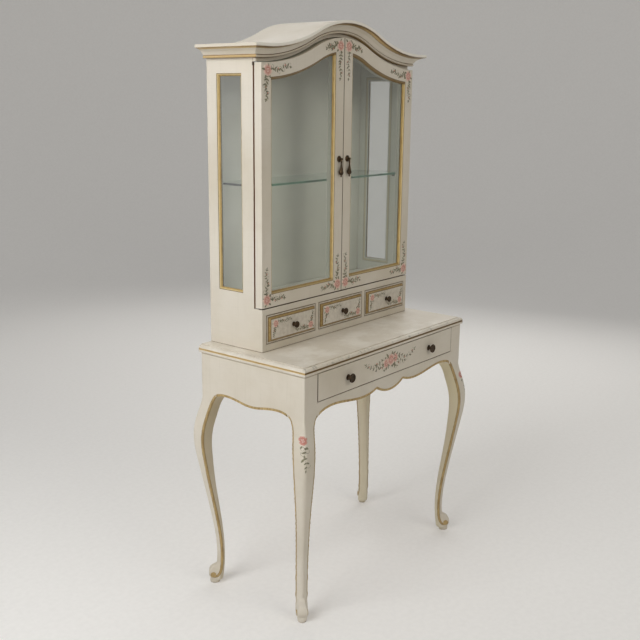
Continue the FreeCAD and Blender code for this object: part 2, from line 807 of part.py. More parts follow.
def cabinet_hinge_plates():
    """Fixed halves of the pivot hinges: one under the frieze and one on the step of the side."""
    rear = panel_front
    front = hinge_y - hinge_half_width
    start, end = cabinet_x - hinge_length, cabinet_x - hinge_edge
    upper = block(start, end, front, rear, frieze_base - hinge_plate, frieze_base)
    lower = block(start, end, front, rear, floor_top, floor_top + hinge_plate)
    reach = hinge_leaf - hinge_end_gap
    return [fuse(upper, hinge_pin(hinge_pin_radius, door_top - reach, frieze_base)),
            fuse(lower, hinge_pin(hinge_pin_radius, floor_top, door_base + reach))]


def door_catch():
    """Catch behind the frieze: its lower end meets the back of the inner stile."""
    step = crest(opening_inner, door_top) - catch_drop
    low = step - catch_grip
    high = frieze_base + crest_rise + catch_seat
    x = door_inner + catch_drop
    points = [V(x, door_back, low), V(x, panel_front + catch_thickness, low),
              V(x, panel_front + catch_thickness, high), V(x, panel_front, high),
              V(x, panel_front, step), V(x, door_back, step)]
    return polygon(points).extrude(V(catch_width, 0, 0))


def pull_mount():
    """Rose and forked bracket of the pull, with the pin that carries the drop."""
    outline = [(pull_rose_radius * r, pull_rose_thickness * t) for r, t in rose_outline_shares]
    rose = turned(outline, V(pull_x, cabinet_front, pull_z), V(0, -1, 0), V(0, 0, 1))
    width = pull_slot + 2 * pull_cheek
    barrel = cylinder(pull_cheek_radius, width, V(pull_x - width / 2, pull_y, pull_z), V(1, 0, 0))
    bridge = block(pull_x - width / 2, pull_x + width / 2, pull_y, cabinet_front - pull_rose_thickness / 2,
                   pull_z - pull_bridge_height / 2, pull_z + pull_bridge_height / 2)
    room = pull_tang_radius + pull_cheek / 2
    slot = cylinder(room, pull_slot, V(pull_x - pull_slot / 2, pull_y, pull_z), V(1, 0, 0))
    opening = block(pull_x - pull_slot / 2, pull_x + pull_slot / 2, pull_y - room - overrun, pull_y,
                    pull_z - room - overrun, pull_z + room + overrun)
    fork = fuse(barrel, bridge).cut([slot, opening])
    pin = cylinder(pull_pin_radius, width, V(pull_x - width / 2, pull_y, pull_z), V(1, 0, 0))
    return fuse(rose, fork, pin)


def pull_drop():
    """Tear-shaped drop that hangs from the pin by a bored tang."""
    half = pull_tang / 2
    tang = cylinder(pull_tang_radius, pull_tang, V(pull_x - half, pull_y, pull_z), V(1, 0, 0))
    neck_start = 2 * pull_cheek_radius
    shank = block(pull_x - half, pull_x + half, pull_y - half, pull_y + half, pull_z - 2 * neck_start, pull_z)
    outline = [(drop_neck_radius, neck_start)]
    outline += [(drop_radius * r, drop_length * t) for r, t in drop_outline_shares]
    outline += [(drop_tip_radius, drop_length - drop_tip_radius), (drop_tip_radius / 2, drop_length)]
    tear = turned(outline, V(pull_x, pull_y, pull_z), V(0, 0, -1), V(1, 0, 0))
    bore = cylinder(pull_pin_radius + fit_clearance, pull_tang + 2 * overrun,
                    V(pull_x - half - overrun, pull_y, pull_z), V(1, 0, 0))
    return fuse(tang, shank, tear).cut(bore)


def save(name, *solids):
    placed = [solid.translated(V(0, frame_shift, 0)) for solid in solids]
    shape = placed[0] if len(placed) == 1 else Part.makeCompound(placed)
    shape.exportStep("parts/" + name + ".step")


def save_desk():
    save("desk_top", desk_top())
    right_apron = side_apron()
    left_apron = mirror_x(right_apron)
    front, back = front_apron(), back_apron()
    save("side_apron_right", right_apron)
    save("side_apron_left", left_apron)
    save("front_apron", front)
    save("back_apron", back)
    rear_right = leg_blank()
    front_right = mirror_y(rear_right)
    save("leg_rear_right", rear_right.cut([right_apron, back]))
    save("leg_rear_left", mirror_x(rear_right).cut([left_apron, back]))
    save("leg_front_right", front_right.cut([right_apron, front]))
    save("leg_front_left", mirror_x(front_right).cut([left_apron, front]))
    save("desk_drawer_runners", runner(), mirror_x(runner()))
    blocks = [corner_block(y) for y in (-block_spacing / 2, block_spacing / 2)]
    save("corner_blocks", *blocks, *[mirror_x(piece) for piece in blocks])


def save_desk_drawer():
    half = post_inner_x - drawer_side_clearance
    front_y = drawer_front_thickness - frame_y
    left, right, back, floor = drawer_box(0, half, drawer_base, drawer_side_height, front_y,
                                          drawer_box_length, drawer_side_thickness, drawer_groove,
                                          drawer_bottom_lift, drawer_bottom_thickness)
    save("desk_drawer_front", desk_drawer_front())
    save("desk_drawer_box", left, right, back)
    save("desk_drawer_bottom", floor)
    knob_z = (drawer_base + drawer_top) / 2
    knobs = [knob(x, -frame_y, knob_z, desk_knob_base, desk_knob_head, desk_knob_reach)
             for x in (-desk_knob_spacing / 2, desk_knob_spacing / 2)]
    save("desk_drawer_knobs", *knobs)


def save_cabinet():
    save("side_panel_right", side_panel())
    save("side_panel_left", mirror_x(side_panel()))
    save("side_glass", window_glass(), mirror_x(window_glass()))
    beads = window_beads()
    save("side_glass_beads", *beads, *[mirror_x(bead) for bead in beads])
    save("cabinet_bottom", cabinet_bottom())
    save("display_floor", display_floor())
    save("drawer_dividers", drawer_divider(-small_pitch / 2), drawer_divider(small_pitch / 2))
    save("back_panel", back_panel())
    save("frieze_board", frieze_board())
    save("roof_board", roof_board())
    save("cornice_front", cornice_front())
    save("cornice_right", cornice_return())
    save("cornice_left", mirror_x(cornice_return()))
    save("glass_shelf", glass_shelf())
    save("shelf_pins", *shelf_pins(), *[mirror_x(pin) for pin in shelf_pins()])
    plates = cabinet_hinge_plates()
    save("cabinet_hinge_plates", *plates, *[mirror_x(plate) for plate in plates])
    save("door_catches", door_catch(), mirror_x(door_catch()))


def save_small_drawers():
    half = small_opening_width / 2 - drawer_gap
    knob_z = (small_opening_base + small_opening_top) / 2
    front_y = cabinet_front + small_front_thickness
    for name, centre in (("left", -small_pitch), ("middle", 0), ("right", small_pitch)):
        box = drawer_box(centre, half, small_opening_base, small_side_height, front_y, small_box_length,
                         small_side_thickness, small_groove, small_bottom_lift, small_bottom_thickness)
        save(name + "_drawer_front", small_drawer_front(centre))
        save(name + "_drawer_box", *box)
        save(name + "_drawer_knob", knob(centre, cabinet_front - bevel_rise, knob_z,
                                         small_knob_base, small_knob_head, small_knob_reach))


def save_doors():
    pieces = {"door_outer_stile": [outer_stile()], "door_inner_stile": [inner_stile()],
              "door_top_rail": [top_rail()], "door_bottom_rail": [bottom_rail()],
              "door_glass": [door_glass()], "door_beads": door_beads(),
              "door_hinge_leaves": hinge_leaves(), "pull_mount": [pull_mount()], "pull_drop": [pull_drop()]}
    for name, solids in pieces.items():
        save("right_" + name, *solids)
        save("left_" + name, *[mirror_x(solid) for solid in solids])


os.makedirs("parts", exist_ok=True)
save_desk()
save_desk_drawer()
save_cabinet()
save_small_drawers()
save_doors()
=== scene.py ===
import bpy
import math
import numpy as np
import random
from mathutils import Matrix, Vector
from mathutils.bvhtree import BVHTree
from mathutils.kdtree import KDTree


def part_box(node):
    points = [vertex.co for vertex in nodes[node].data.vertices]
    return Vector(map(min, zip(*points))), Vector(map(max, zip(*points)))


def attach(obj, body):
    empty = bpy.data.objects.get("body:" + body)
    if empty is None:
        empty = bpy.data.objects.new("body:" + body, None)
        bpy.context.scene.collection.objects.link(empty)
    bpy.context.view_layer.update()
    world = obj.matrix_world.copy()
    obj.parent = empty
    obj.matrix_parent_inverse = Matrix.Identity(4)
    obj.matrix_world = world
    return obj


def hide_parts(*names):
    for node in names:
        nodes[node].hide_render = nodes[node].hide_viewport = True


# Painted bonheur du jour: cream paint with brown and gold lines, painted roses, dark bronze hardware, glass.
# Sizes are in metres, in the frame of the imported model. Small outlines and flowers are in millimetres.

MM = 0.001
CASE = "desk_and_cabinet"
UP, RIGHT, FRONT = Vector((0, 0, 1)), Vector((1, 0, 0)), Vector((0, -1, 0))

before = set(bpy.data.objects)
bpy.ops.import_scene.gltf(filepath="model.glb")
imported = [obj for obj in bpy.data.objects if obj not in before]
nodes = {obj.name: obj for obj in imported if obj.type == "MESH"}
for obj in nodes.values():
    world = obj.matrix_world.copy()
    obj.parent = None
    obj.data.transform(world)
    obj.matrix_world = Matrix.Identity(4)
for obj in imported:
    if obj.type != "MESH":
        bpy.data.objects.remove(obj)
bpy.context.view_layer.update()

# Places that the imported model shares
FRONT_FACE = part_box("left_door_inner_stile")[0].y
DRAWER_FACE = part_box("desk_drawer_front")[0].y
FIELD_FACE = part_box("middle_drawer_front")[0].y
DOOR_BASE, DOOR_TOP = (corner.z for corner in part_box("left_door_outer_stile"))
DOOR_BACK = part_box("left_door_outer_stile")[1].y
GLASS_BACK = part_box("left_door_glass")[1].y
FLOOR_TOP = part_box("display_floor")[1].z
INNER_X, CABINET_X = (corner.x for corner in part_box("side_panel_right"))
BACK_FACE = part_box("back_panel")[0].y
TOP_BASE, FOOT_LINE = (corner.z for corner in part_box("desk_top"))
TOP_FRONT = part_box("desk_top")[0].y
APRON_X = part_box("side_apron_right")[1].x
APRON_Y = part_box("back_apron")[1].y
CORNICE_FOOT, ROOF_BASE = (corner.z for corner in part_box("cornice_left"))
WINDOW_LOW, WINDOW_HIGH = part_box("side_glass_beads")
WINDOW_SETBACK = 43 * MM
PANEL_FRONT = WINDOW_LOW.y - WINDOW_SETBACK
FIELD_INSET = 12.5 * MM
KNEE_LINE = 612 * MM

# Crest line of the arched head
CREST_RISE = 80 * MM
CREST_LENGTH = CABINET_X
CREST_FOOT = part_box("frieze_board")[0].z
CREST_ROUND_SHARE = 0.35
CREST_RADII = (CREST_LENGTH ** 2 + CREST_RISE ** 2) / 2 / CREST_RISE
ROUND_CENTRE = CREST_FOOT + CREST_RISE - CREST_RADII * CREST_ROUND_SHARE
HOLLOW_CENTRE = CREST_FOOT + CREST_RADII * (1 - CREST_ROUND_SHARE)
ROUND_RATIO = CREST_LENGTH / (HOLLOW_CENTRE - ROUND_CENTRE)
DOOR_GAP = 2.5 * MM
DOOR_CREST = CREST_FOOT - DOOR_GAP


def crest(x, level):
    """Height of the crest line whose flat ends are at level."""
    slope = math.asin(CREST_LENGTH / CREST_RADII)
    reach = abs(x)
    if reach >= CREST_LENGTH:
        return level
    if reach > (level + CREST_RISE - ROUND_CENTRE) * math.sin(slope):
        return HOLLOW_CENTRE - math.sqrt((HOLLOW_CENTRE - level) ** 2 - (CREST_LENGTH - reach) ** 2)
    return ROUND_CENTRE + math.sqrt((level + CREST_RISE - ROUND_CENTRE) ** 2 - reach ** 2)


def level_of(x, z):
    """Level of the crest line through one point."""
    reach, above = abs(x), z - ROUND_CENTRE
    if reach < above * ROUND_RATIO:
        return math.hypot(reach, above) + ROUND_CENTRE - CREST_RISE
    return HOLLOW_CENTRE - math.hypot(max(CREST_LENGTH - reach, 0), HOLLOW_CENTRE - z)


def tone(red, green, blue):
    """Colour from its screen values, 0 to 255, as Blender's linear one."""
    values = []
    for value in (red, green, blue):
        share = value / 255
        values.append(share / 12.92 if share <= 0.04045 else ((share + 0.055) / 1.055) ** 2.4)
    return (*values, 1.0)


# Node materials

class Value:
    """Number or colour that a material works out at each point; sums and products of values make nodes."""

    def __init__(self, graph, socket):
        self.graph = graph
        self.socket = socket

    def __add__(self, other):
        return self.graph.math("ADD", self, other)

    def __sub__(self, other):
        return self.graph.math("SUBTRACT", self, other)

    def __rsub__(self, other):
        return self.graph.math("SUBTRACT", other, self)

    def __mul__(self, other):
        return self.graph.math("MULTIPLY", self, other)

    def __abs__(self):
        return self.graph.math("ABSOLUTE", self)

    def ease(self, low, high, start=0.0, end=1.0):
        """Smooth step from start at low to end at high."""
        made = self.graph.node("ShaderNodeMapRange", interpolation_type="SMOOTHSTEP")
        for socket, number in zip(made.inputs, (self, low, high, start, end)):
            self.graph.feed(socket, number)
        return self.graph.out(made)

    def fade(self, low, high, start=1.0):
        """Smooth step down from start at low to nought at high."""
        return self.ease(low, high, start, 0.0)

    def band(self, low, high, soft):
        """One between low and high, with soft edges."""
        return self.ease(low - soft, low + soft) * self.fade(high - soft, high + soft)


class Graph:
    """One node material, built step by step."""

    def __init__(self, name):
        self.material = bpy.data.materials.new(name)
        self.material.use_nodes = True
        self.tree = self.material.node_tree
        self.shader = self.tree.nodes["Principled BSDF"]
        self.place = self.out(self.node("ShaderNodeTexCoord"), "Object")

    def node(self, kind, **settings):
        made = self.tree.nodes.new(kind)
        for key, value in settings.items():
            setattr(made, key, value)
        return made

    def out(self, node, output=0):
        return Value(self, node.outputs[output])

    def feed(self, socket, value):
        if isinstance(value, Value):
            self.tree.links.new(value.socket, socket)
        else:
            socket.default_value = value

    def set(self, socket, value):
        self.feed(self.shader.inputs[socket], value)

    def math(self, operation, *values):
        made = self.node("ShaderNodeMath", operation=operation)
        for socket, value in zip(made.inputs, values):
            self.feed(socket, value)
        return self.out(made)

    def mix(self, share, first, second, kind="RGBA"):
        made = self.node("ShaderNodeMix", data_type=kind)
        for socket, value in (("Factor", share), ("A", first), ("B", second)):
            self.feed(made.inputs[socket], value)
        return self.out(made, "Result")

    def over(self, base, layers):
        """Base with layers of paint over it, from the lowest up, each a share and a colour."""
        for share, colour in layers:
            base = self.mix(share, base, colour)
        return base

    def scaled(self, x, y, z):
        """The point's place, stretched along each axis."""
        made = self.node("ShaderNodeMapping")
        self.feed(made.inputs["Vector"], self.place)
        made.inputs["Scale"].default_value = (x, y, z)
        return self.out(made)

    def noise(self, scale, detail=4.0, rough=0.55, place=None):
        made = self.node("ShaderNodeTexNoise")
        self.feed(made.inputs["Vector"], place or self.place)
        for socket, value in (("Scale", scale), ("Detail", detail), ("Roughness", rough)):
            made.inputs[socket].default_value = value
        return self.out(made)

    def axes(self, vector=None):
        """The three parts of a vector: of the point's place, unless another is given."""
        made = self.node("ShaderNodeSeparateXYZ")
        self.feed(made.inputs[0], vector or self.place)
        return [Value(self, output) for output in made.outputs]

    def normal(self, kind):
        return self.out(self.node("ShaderNodeNewGeometry"), kind)

    def edges(self, radius):
        """Share of sharp outer edge, from the difference between the true and a rounded normal."""
        bevel = self.node("ShaderNodeBevel", samples=6)
        bevel.inputs["Radius"].default_value = radius
        dot = self.node("ShaderNodeVectorMath", operation="DOT_PRODUCT")
        self.feed(dot.inputs[0], self.out(bevel))
        self.feed(dot.inputs[1], self.normal("True Normal"))
        return self.out(dot, "Value").fade(0.90, 0.995)

    def front_share(self):
        """One on surfaces that look to the front or the back, nought on those that look to the sides."""
        side, front, _ = self.axes(self.normal("True Normal"))
        return (abs(front) - abs(side)).ease(-0.15, 0.15)

    def shade_in_hollows(self, distance):
        """Share of shelter in corners and grooves, for painting shade there."""
        made = self.node("ShaderNodeAmbientOcclusion", samples=6)
        made.inputs["Distance"].default_value = distance
        return 1.0 - self.out(made, "AO")

    def dress(self, colour, rough, height, strength, depth, metallic=0.0):
        """Sets the surface, with a bump from height, and gives back the material."""
        bump = self.node("ShaderNodeBump")
        bump.inputs["Strength"].default_value = strength
        bump.inputs["Distance"].default_value = depth
        self.feed(bump.inputs["Height"], height)
        self.set("Base Color", colour)
        self.set("Metallic", metallic)
        self.set("Roughness", rough)
        self.set("Normal", self.out(bump))
        return self.material


CREAM = tone(226, 218, 204)
CREAM_DEEP = tone(215, 205, 187)
CREAM_WHITE = tone(240, 234, 222)
CREAM_GREY = tone(206, 198, 180)
# Near-white highlight painted on the front of the roof board's edge
NOSING_HIGHLIGHT = tone(246, 241, 230)
UNDERCOAT = tone(150, 146, 130)
# Brown glaze of the specks, also used for painted shade in the corners and under the desk's top
GLAZE_AND_SHADE = tone(134, 110, 74)
# Dark brown painted shade in gaps, in the corners of the gilding and along the cabinet's foot
DARK_PAINTED_SHADE = tone(84, 64, 42)
# Painted shade along the gaps round the small drawers
DRAWER_GAP_SHADE = tone(122, 105, 76)
# Painted shade in the gap under the doors, also the dark spot at each pivot
GAP_SHADE_AND_PIVOT = tone(66, 49, 37)
# Painted shade in the gaps beside the doors
HINGE_GAP_SHADE = tone(142, 102, 78)
INSIDE = tone(206, 206, 193)
INSIDE_DEEP = tone(192, 193, 179)
# Painted shade on the reveals behind the side windows' beads
WINDOW_REVEAL_SHADE = tone(94, 91, 70)
DOOR_REVEAL = tone(166, 166, 150)
# Painted shade on the reveals of the right door, close to the pane
DOOR_REVEAL_SHADE = tone(96, 92, 72)
WINDOW_RING = tone(186, 178, 146)
WINDOW_THREAD = tone(118, 108, 82)
WORN_EDGE = 1.6 * MM
RAGGED_WIDTH = 1.4 * MM
CORNER_REACH = 9 * MM
BRUSH_DEPTH = 0.4 * MM
FINE_DEPTH = 0.2 * MM


def crest_level(graph):
    """Level of the crest line through each point, as the arched mouldings have it."""
    x, _, z = graph.axes()
    reach, above, below = abs(x), z - ROUND_CENTRE, HOLLOW_CENTRE - z
    inward = graph.math("MAXIMUM", CREST_LENGTH - reach, 0.0)
    hollow = HOLLOW_CENTRE - graph.math("SQRT", inward * inward + below * below)
    middle = graph.math("SQRT", reach * reach + above * above) + (ROUND_CENTRE - CREST_RISE)
    is_middle = graph.math("LESS_THAN", reach, above * ROUND_RATIO)
    return graph.mix(is_middle, hollow, middle, "FLOAT")


def paint(name, lines, light=False):
    """Antique cream paint: mottled and brushed, brown glaze and painted shade in the corners, worn edges.

    lines gives the shares and colours that are painted over it, from the graph and a small ragged offset.
    """
    graph = Graph(name)
    cloud = graph.noise(2.6, 5.0, 0.6)
    patch = graph.noise(11.0, 6.0, 0.62)
    speck = graph.noise(170.0, 3.0, 0.7)
    brush = graph.noise(1.0, 4.0, 0.6, graph.scaled(16.0, 16.0, 260.0))
    drag = graph.noise(1.0, 4.0, 0.6, graph.scaled(120.0, 120.0, 5.0))
    pale, deep = (CREAM_WHITE, CREAM) if light else (CREAM, CREAM_DEEP)
    worn = graph.edges(WORN_EDGE) * patch.ease(0.50, 0.64) * graph.noise(60.0, 5.0, 0.7).ease(0.42, 0.58)
    # Painted shade: the glaze colour darkens corners by how sheltered they are, in patches
    corner = graph.shade_in_hollows(CORNER_REACH).ease(0.30, 0.85) * patch.ease(0.30, 0.65, 0.35, 0.85)
    ragged = (graph.noise(90.0) - 0.5) * RAGGED_WIDTH
    base = graph.over(graph.mix(cloud.ease(0.35, 0.68), pale, deep), [
        (patch.ease(0.52, 0.78, 0.0, 0.15 if light else 0.35), CREAM_GREY),
        (brush.ease(0.50, 0.80, 0.0, 0.22), CREAM_GREY),
        (drag.ease(0.52, 0.80, 0.0, 0.08 if light else 0.28), CREAM_GREY),
        (speck.ease(0.70, 0.80, 0.0, 0.35), GLAZE_AND_SHADE),
        (worn * 0.75, UNDERCOAT),
        *lines(graph, ragged),
        (corner, GLAZE_AND_SHADE)])
    graph.set("Specular IOR Level", 0.42)
    height = brush * 0.6 + speck * 0.4
    return graph.dress(base, patch.ease(0.3, 0.7, 0.38, 0.56), height, 0.10, BRUSH_DEPTH)


def inside(graph):
    """Share of the cabinet's inner faces, behind the doors and above the floor."""
    x, y, z = graph.axes()
    share = y.band(DOOR_BACK + 1.5 * MM, BACK_FACE + 2 * MM, 0.5 * MM)
    share = share * z.ease(FLOOR_TOP - 2 * MM, FLOOR_TOP - 0.5 * MM)
    return share * abs(x).fade(INNER_X + 0.5 * MM, INNER_X + 2 * MM)


def inside_colour(graph):
    return graph.mix(graph.noise(3.4, 5.0, 0.6).ease(0.3, 0.7), INSIDE, INSIDE_DEEP)


def lip_shade(z):
    """Share of painted shadow just under the desk's top."""
    return z.band(TOP_BASE - 3.2 * MM, TOP_BASE + 1 * MM, 1.2 * MM) * 0.5


def case_lines(graph, ragged):
    """Grey-green inside of the cabinet, reveals and rings at the glass, painted shade in the gaps round the
    doors and at the foot.
    """
    x, y, z = graph.axes()
    reach = abs(x)
    outer_edge = reach.ease(CABINET_X - 9 * MM, CABINET_X - 6 * MM)
    # Painted shade in the gaps beside the doors, under them and between them, and along the cabinet's foot on
    # the desk's top
    hinge_gap_shade = (y + ragged * 0.8).band(DOOR_BACK - 0.9 * MM, PANEL_FRONT + 0.9 * MM, 0.3 * MM) * outer_edge
    hinge_gap_shade = hinge_gap_shade * z.ease(FLOOR_TOP - 1 * MM, FLOOR_TOP)
    pivot = z.band(DOOR_TOP - 9 * MM, DOOR_TOP, 1 * MM) * outer_edge
    pivot = pivot * y.band(DOOR_BACK - 1.5 * MM, PANEL_FRONT + 3 * MM, 1 * MM)
    under = z.band(FLOOR_TOP - 0.2 * MM, DOOR_BASE + 0.4 * MM, 0.1 * MM)
    under = under * y.fade(FRONT_FACE + 12 * MM, FRONT_FACE + 16 * MM)
    meeting = reach.fade(1.3 * MM, 1.6 * MM) * z.ease(FLOOR_TOP, FLOOR_TOP + 1 * MM)
    meeting = meeting * y.fade(FRONT_FACE + 4 * MM, FRONT_FACE + 6 * MM)
    foot = (z + ragged).band(FOOT_LINE - 1 * MM, FOOT_LINE + 1.3 * MM, 0.4 * MM)
    # Windows: the reveal behind each bead painted dark as shade, and a ring with a thread round the opening
    # inside
    window = reach.band(INNER_X + 1.5 * MM, CABINET_X - 7 * MM, 0.4 * MM)
    window = window * y.band(WINDOW_LOW.y - 2 * MM, WINDOW_HIGH.y + 2 * MM, 0.4 * MM)
    window = window * z.band(WINDOW_LOW.z - 2 * MM, WINDOW_HIGH.z + 2 * MM, 0.4 * MM)
    middle, half = (WINDOW_LOW + WINDOW_HIGH) / 2, (WINDOW_HIGH - WINDOW_LOW) / 2
    beyond = graph.math("MAXIMUM", abs(y - middle.y) - half.y, abs(z - middle.z) - half.z)
    wall = reach.band(INNER_X - 1 * MM, INNER_X + 1 * MM, 0.3 * MM)
    ring = wall * beyond.band(-2 * MM, 4.5 * MM, 0.8 * MM)
    thread = wall * beyond.band(4.5 * MM, 5.6 * MM, 0.5 * MM)
    # Doors: the edges of the frame behind the glass, with painted shade on the right, close to the pane
    reveal = y.band(GLASS_BACK - 1 * MM, DOOR_BACK - 0.6 * MM, 0.3 * MM) * (1.0 - graph.front_share())
    reveal = reveal * reach.band(4 * MM, CABINET_X - 10 * MM, 1 * MM)
    reveal = reveal * z.ease(DOOR_BASE + 3 * MM, DOOR_BASE + 5 * MM)
    shaded = x.ease(100 * MM, 200 * MM) * y.fade(GLASS_BACK + 2 * MM, GLASS_BACK + 4 * MM)
    return [(inside(graph), inside_colour(graph)),
            (reveal, graph.mix(shaded, DOOR_REVEAL, DOOR_REVEAL_SHADE)),
            (window, WINDOW_REVEAL_SHADE), (ring, WINDOW_RING), (thread, WINDOW_THREAD),
            (hinge_gap_shade, HINGE_GAP_SHADE), (pivot, GAP_SHADE_AND_PIVOT), (under, GAP_SHADE_AND_PIVOT), (meeting, DARK_PAINTED_SHADE),
            (foot * 0.8, DARK_PAINTED_SHADE), (lip_shade(z), GLAZE_AND_SHADE)]


def cornice_lines(graph, ragged):
    """Gold-brown line under the roof's edge and one on the bead, with dark threads, painted darker on the
    front as shade, and a painted highlight on the front of the roof board's edge.
    """
    level = crest_level(graph)
    wavy = level + ragged
    lower = inside(graph) * level.fade(ROOF_BASE, ROOF_BASE + 1 * MM)
    front = graph.front_share()
    # Painted light and shade: the lines are paler on the returns and darker on the front
    gold = graph.mix(front, tone(208, 180, 130), tone(146, 120, 76))
    dark = graph.mix(front, tone(150, 116, 70), tone(92, 70, 42))
    # Painted highlight on the front of the roof board's edge
    nosing_highlight = level.ease(ROOF_BASE + 1 * MM, ROOF_BASE + 3 * MM) * front
    bead_gold = wavy.band(CORNICE_FOOT - 1 * MM, CORNICE_FOOT + 5.8 * MM, 0.6 * MM) * (1.0 - front * 0.8)
    return [(lower, inside_colour(graph)), (nosing_highlight, NOSING_HIGHLIGHT),
            (wavy.band(ROOF_BASE - 4.0 * MM, ROOF_BASE + 0.3 * MM, 1.0 * MM), gold),
            (wavy.band(ROOF_BASE - 1.1 * MM, ROOF_BASE + 0.3 * MM, 0.4 * MM), dark),
            (bead_gold, gold),
            (wavy.band(CORNICE_FOOT + 5.8 * MM, CORNICE_FOOT + 7.6 * MM, 0.5 * MM), dark),
            (wavy.band(CORNICE_FOOT - 1.2 * MM, CORNICE_FOOT + 0.9 * MM, 0.4 * MM) * 0.6, dark)]


def top_lines(graph, ragged):
    """Pale blooms on the desk's top, chips along its front edge, and the gold groove round it, painted darker
    on the front as shade.
    """
    _, y, z = graph.axes()
    groove = TOP_BASE + 11.2 * MM
    height = z + ragged * 0.6
    front = graph.front_share()
    # Painted light and shade: the groove is paler on the sides and darker on the front
    line = graph.mix(front, tone(216, 188, 136), tone(134, 108, 66))
    thread = graph.mix(front, tone(184, 152, 100), tone(86, 68, 42))
    chip = z.band(FOOT_LINE - 9 * MM, FOOT_LINE + 1 * MM, 1 * MM)
    chip = chip * y.fade(TOP_FRONT + 7 * MM, TOP_FRONT + 13 * MM)
    chip = chip * graph.noise(38.0, 6.0, 0.7).ease(0.54, 0.66, 0.0, 0.6)
    bloom = graph.noise(7.0, 6.0, 0.65).ease(0.46, 0.64, 0.0, 0.65)
    return [(bloom, CREAM_WHITE), (chip, UNDERCOAT),
            (height.band(groove - 2.8 * MM, groove + 2.8 * MM, 0.6 * MM), line),
            (height.band(groove - 0.6 * MM, groove + 1.2 * MM, 0.5 * MM), thread)]


def border(graph, node, width, with_top):
    """Share of a front's outer rim, with or without the stretch along its top."""
    x, _, z = graph.axes()
    low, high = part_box(node)
    middle, half = (low + high) / 2, (high - low) / 2
    soft = 0.2 * MM
    down = abs(middle.z - z) if with_top else middle.z - z
    sides = abs(x - middle.x).ease(half.x - width - soft, half.x - width + soft)
    return graph.math("MAXIMUM", sides, down.ease(half.z - width - soft, half.z - width + soft))


def front_lines(node):
    """Dark rim of a drawer front, painted as shade in the gap round it, and the gilded slope round its field
    where it has one.
    """
    is_long = node == "desk_drawer_front"
    face = DRAWER_FACE if is_long else FRONT_FACE
    rim_width = 0.9 * MM

    def lines(graph, ragged):
        _, y, _ = graph.axes()
        depth = y + ragged * 0.3
        # Painted shade along the gap round the front
        rim = border(graph, node, rim_width, not is_long) * depth.fade(face + 2.5 * MM, face + 4 * MM)
        if is_long:
            return [(rim, DARK_PAINTED_SHADE)]
        streak = graph.noise(140.0, 5.0, 0.7).ease(0.3, 0.7)
        gold = graph.mix(streak, tone(178, 151, 98), tone(148, 121, 72))
        return [(rim, DRAWER_GAP_SHADE),
                (depth.band(FIELD_FACE + 0.5 * MM, FRONT_FACE - 0.2 * MM, 0.3 * MM), gold),
                (depth.band(FRONT_FACE - 1.7 * MM, FRONT_FACE - 0.2 * MM, 0.5 * MM), tone(98, 76, 45)),
                (depth.band(FIELD_FACE + 0.2 * MM, FIELD_FACE + 1.7 * MM, 0.4 * MM), tone(108, 84, 47))]
    return lines


def gold_grain(graph):
    return graph.noise(1.0, 5.0, 0.65, graph.scaled(150.0, 150.0, 30.0))


def leg_lines(graph, ragged):
    """Thin gold wash on the legs' inner faces, partly painted shade, darker on the left legs and paler on the
    right as painted shade and light; and gold lines where the attribute "gold" is high.
    """
    x, y, z = graph.axes()
    normal_x, normal_y, _ = graph.axes(graph.normal("Normal"))
    outward = normal_x * graph.math("SIGN", x) + normal_y * graph.math("SIGN", y)
    # Painted shade and light: the wash on the inner faces grows towards the aprons, darker on the left legs,
    # paler on the right
    wash = (outward + ragged * 60.0).fade(-0.75, -0.35) * z.ease(250 * MM, 600 * MM, 0.30, 0.60)
    lit_and_shaded_wash = graph.mix(x.ease(-100 * MM, 100 * MM), tone(190, 172, 124), tone(230, 217, 170))
    closeness = graph.out(graph.node("ShaderNodeAttribute", attribute_name="gold"), "Fac") + ragged * 50.0
    gold = graph.mix(gold_grain(graph).ease(0.32, 0.68), tone(190, 162, 106), tone(156, 128, 76))
    return [(wash, lit_and_shaded_wash), (lip_shade(z), GLAZE_AND_SHADE), (closeness.ease(0.44, 0.50, 0.0, 0.94), gold),
            (closeness.band(0.46, 0.56, 0.04) * 0.6, tone(116, 91, 53))]


def gilding(name):
    """Dull gold paint under a brown glaze, with painted shade in the corners."""
    graph = Graph(name)
    grain = gold_grain(graph)
    patch = graph.noise(26.0, 5.0, 0.6)
    base = graph.over(graph.mix(grain.ease(0.32, 0.68), tone(202, 176, 124), tone(166, 138, 88)), [
        (patch.ease(0.55, 0.75, 0.0, 0.6), tone(132, 102, 58)),
        (graph.shade_in_hollows(5 * MM).ease(0.35, 0.8, 0.0, 0.45), DARK_PAINTED_SHADE)])
    return graph.dress(base, patch.ease(0.3, 0.7, 0.38, 0.58), grain, 0.18, BRUSH_DEPTH, 0.25)


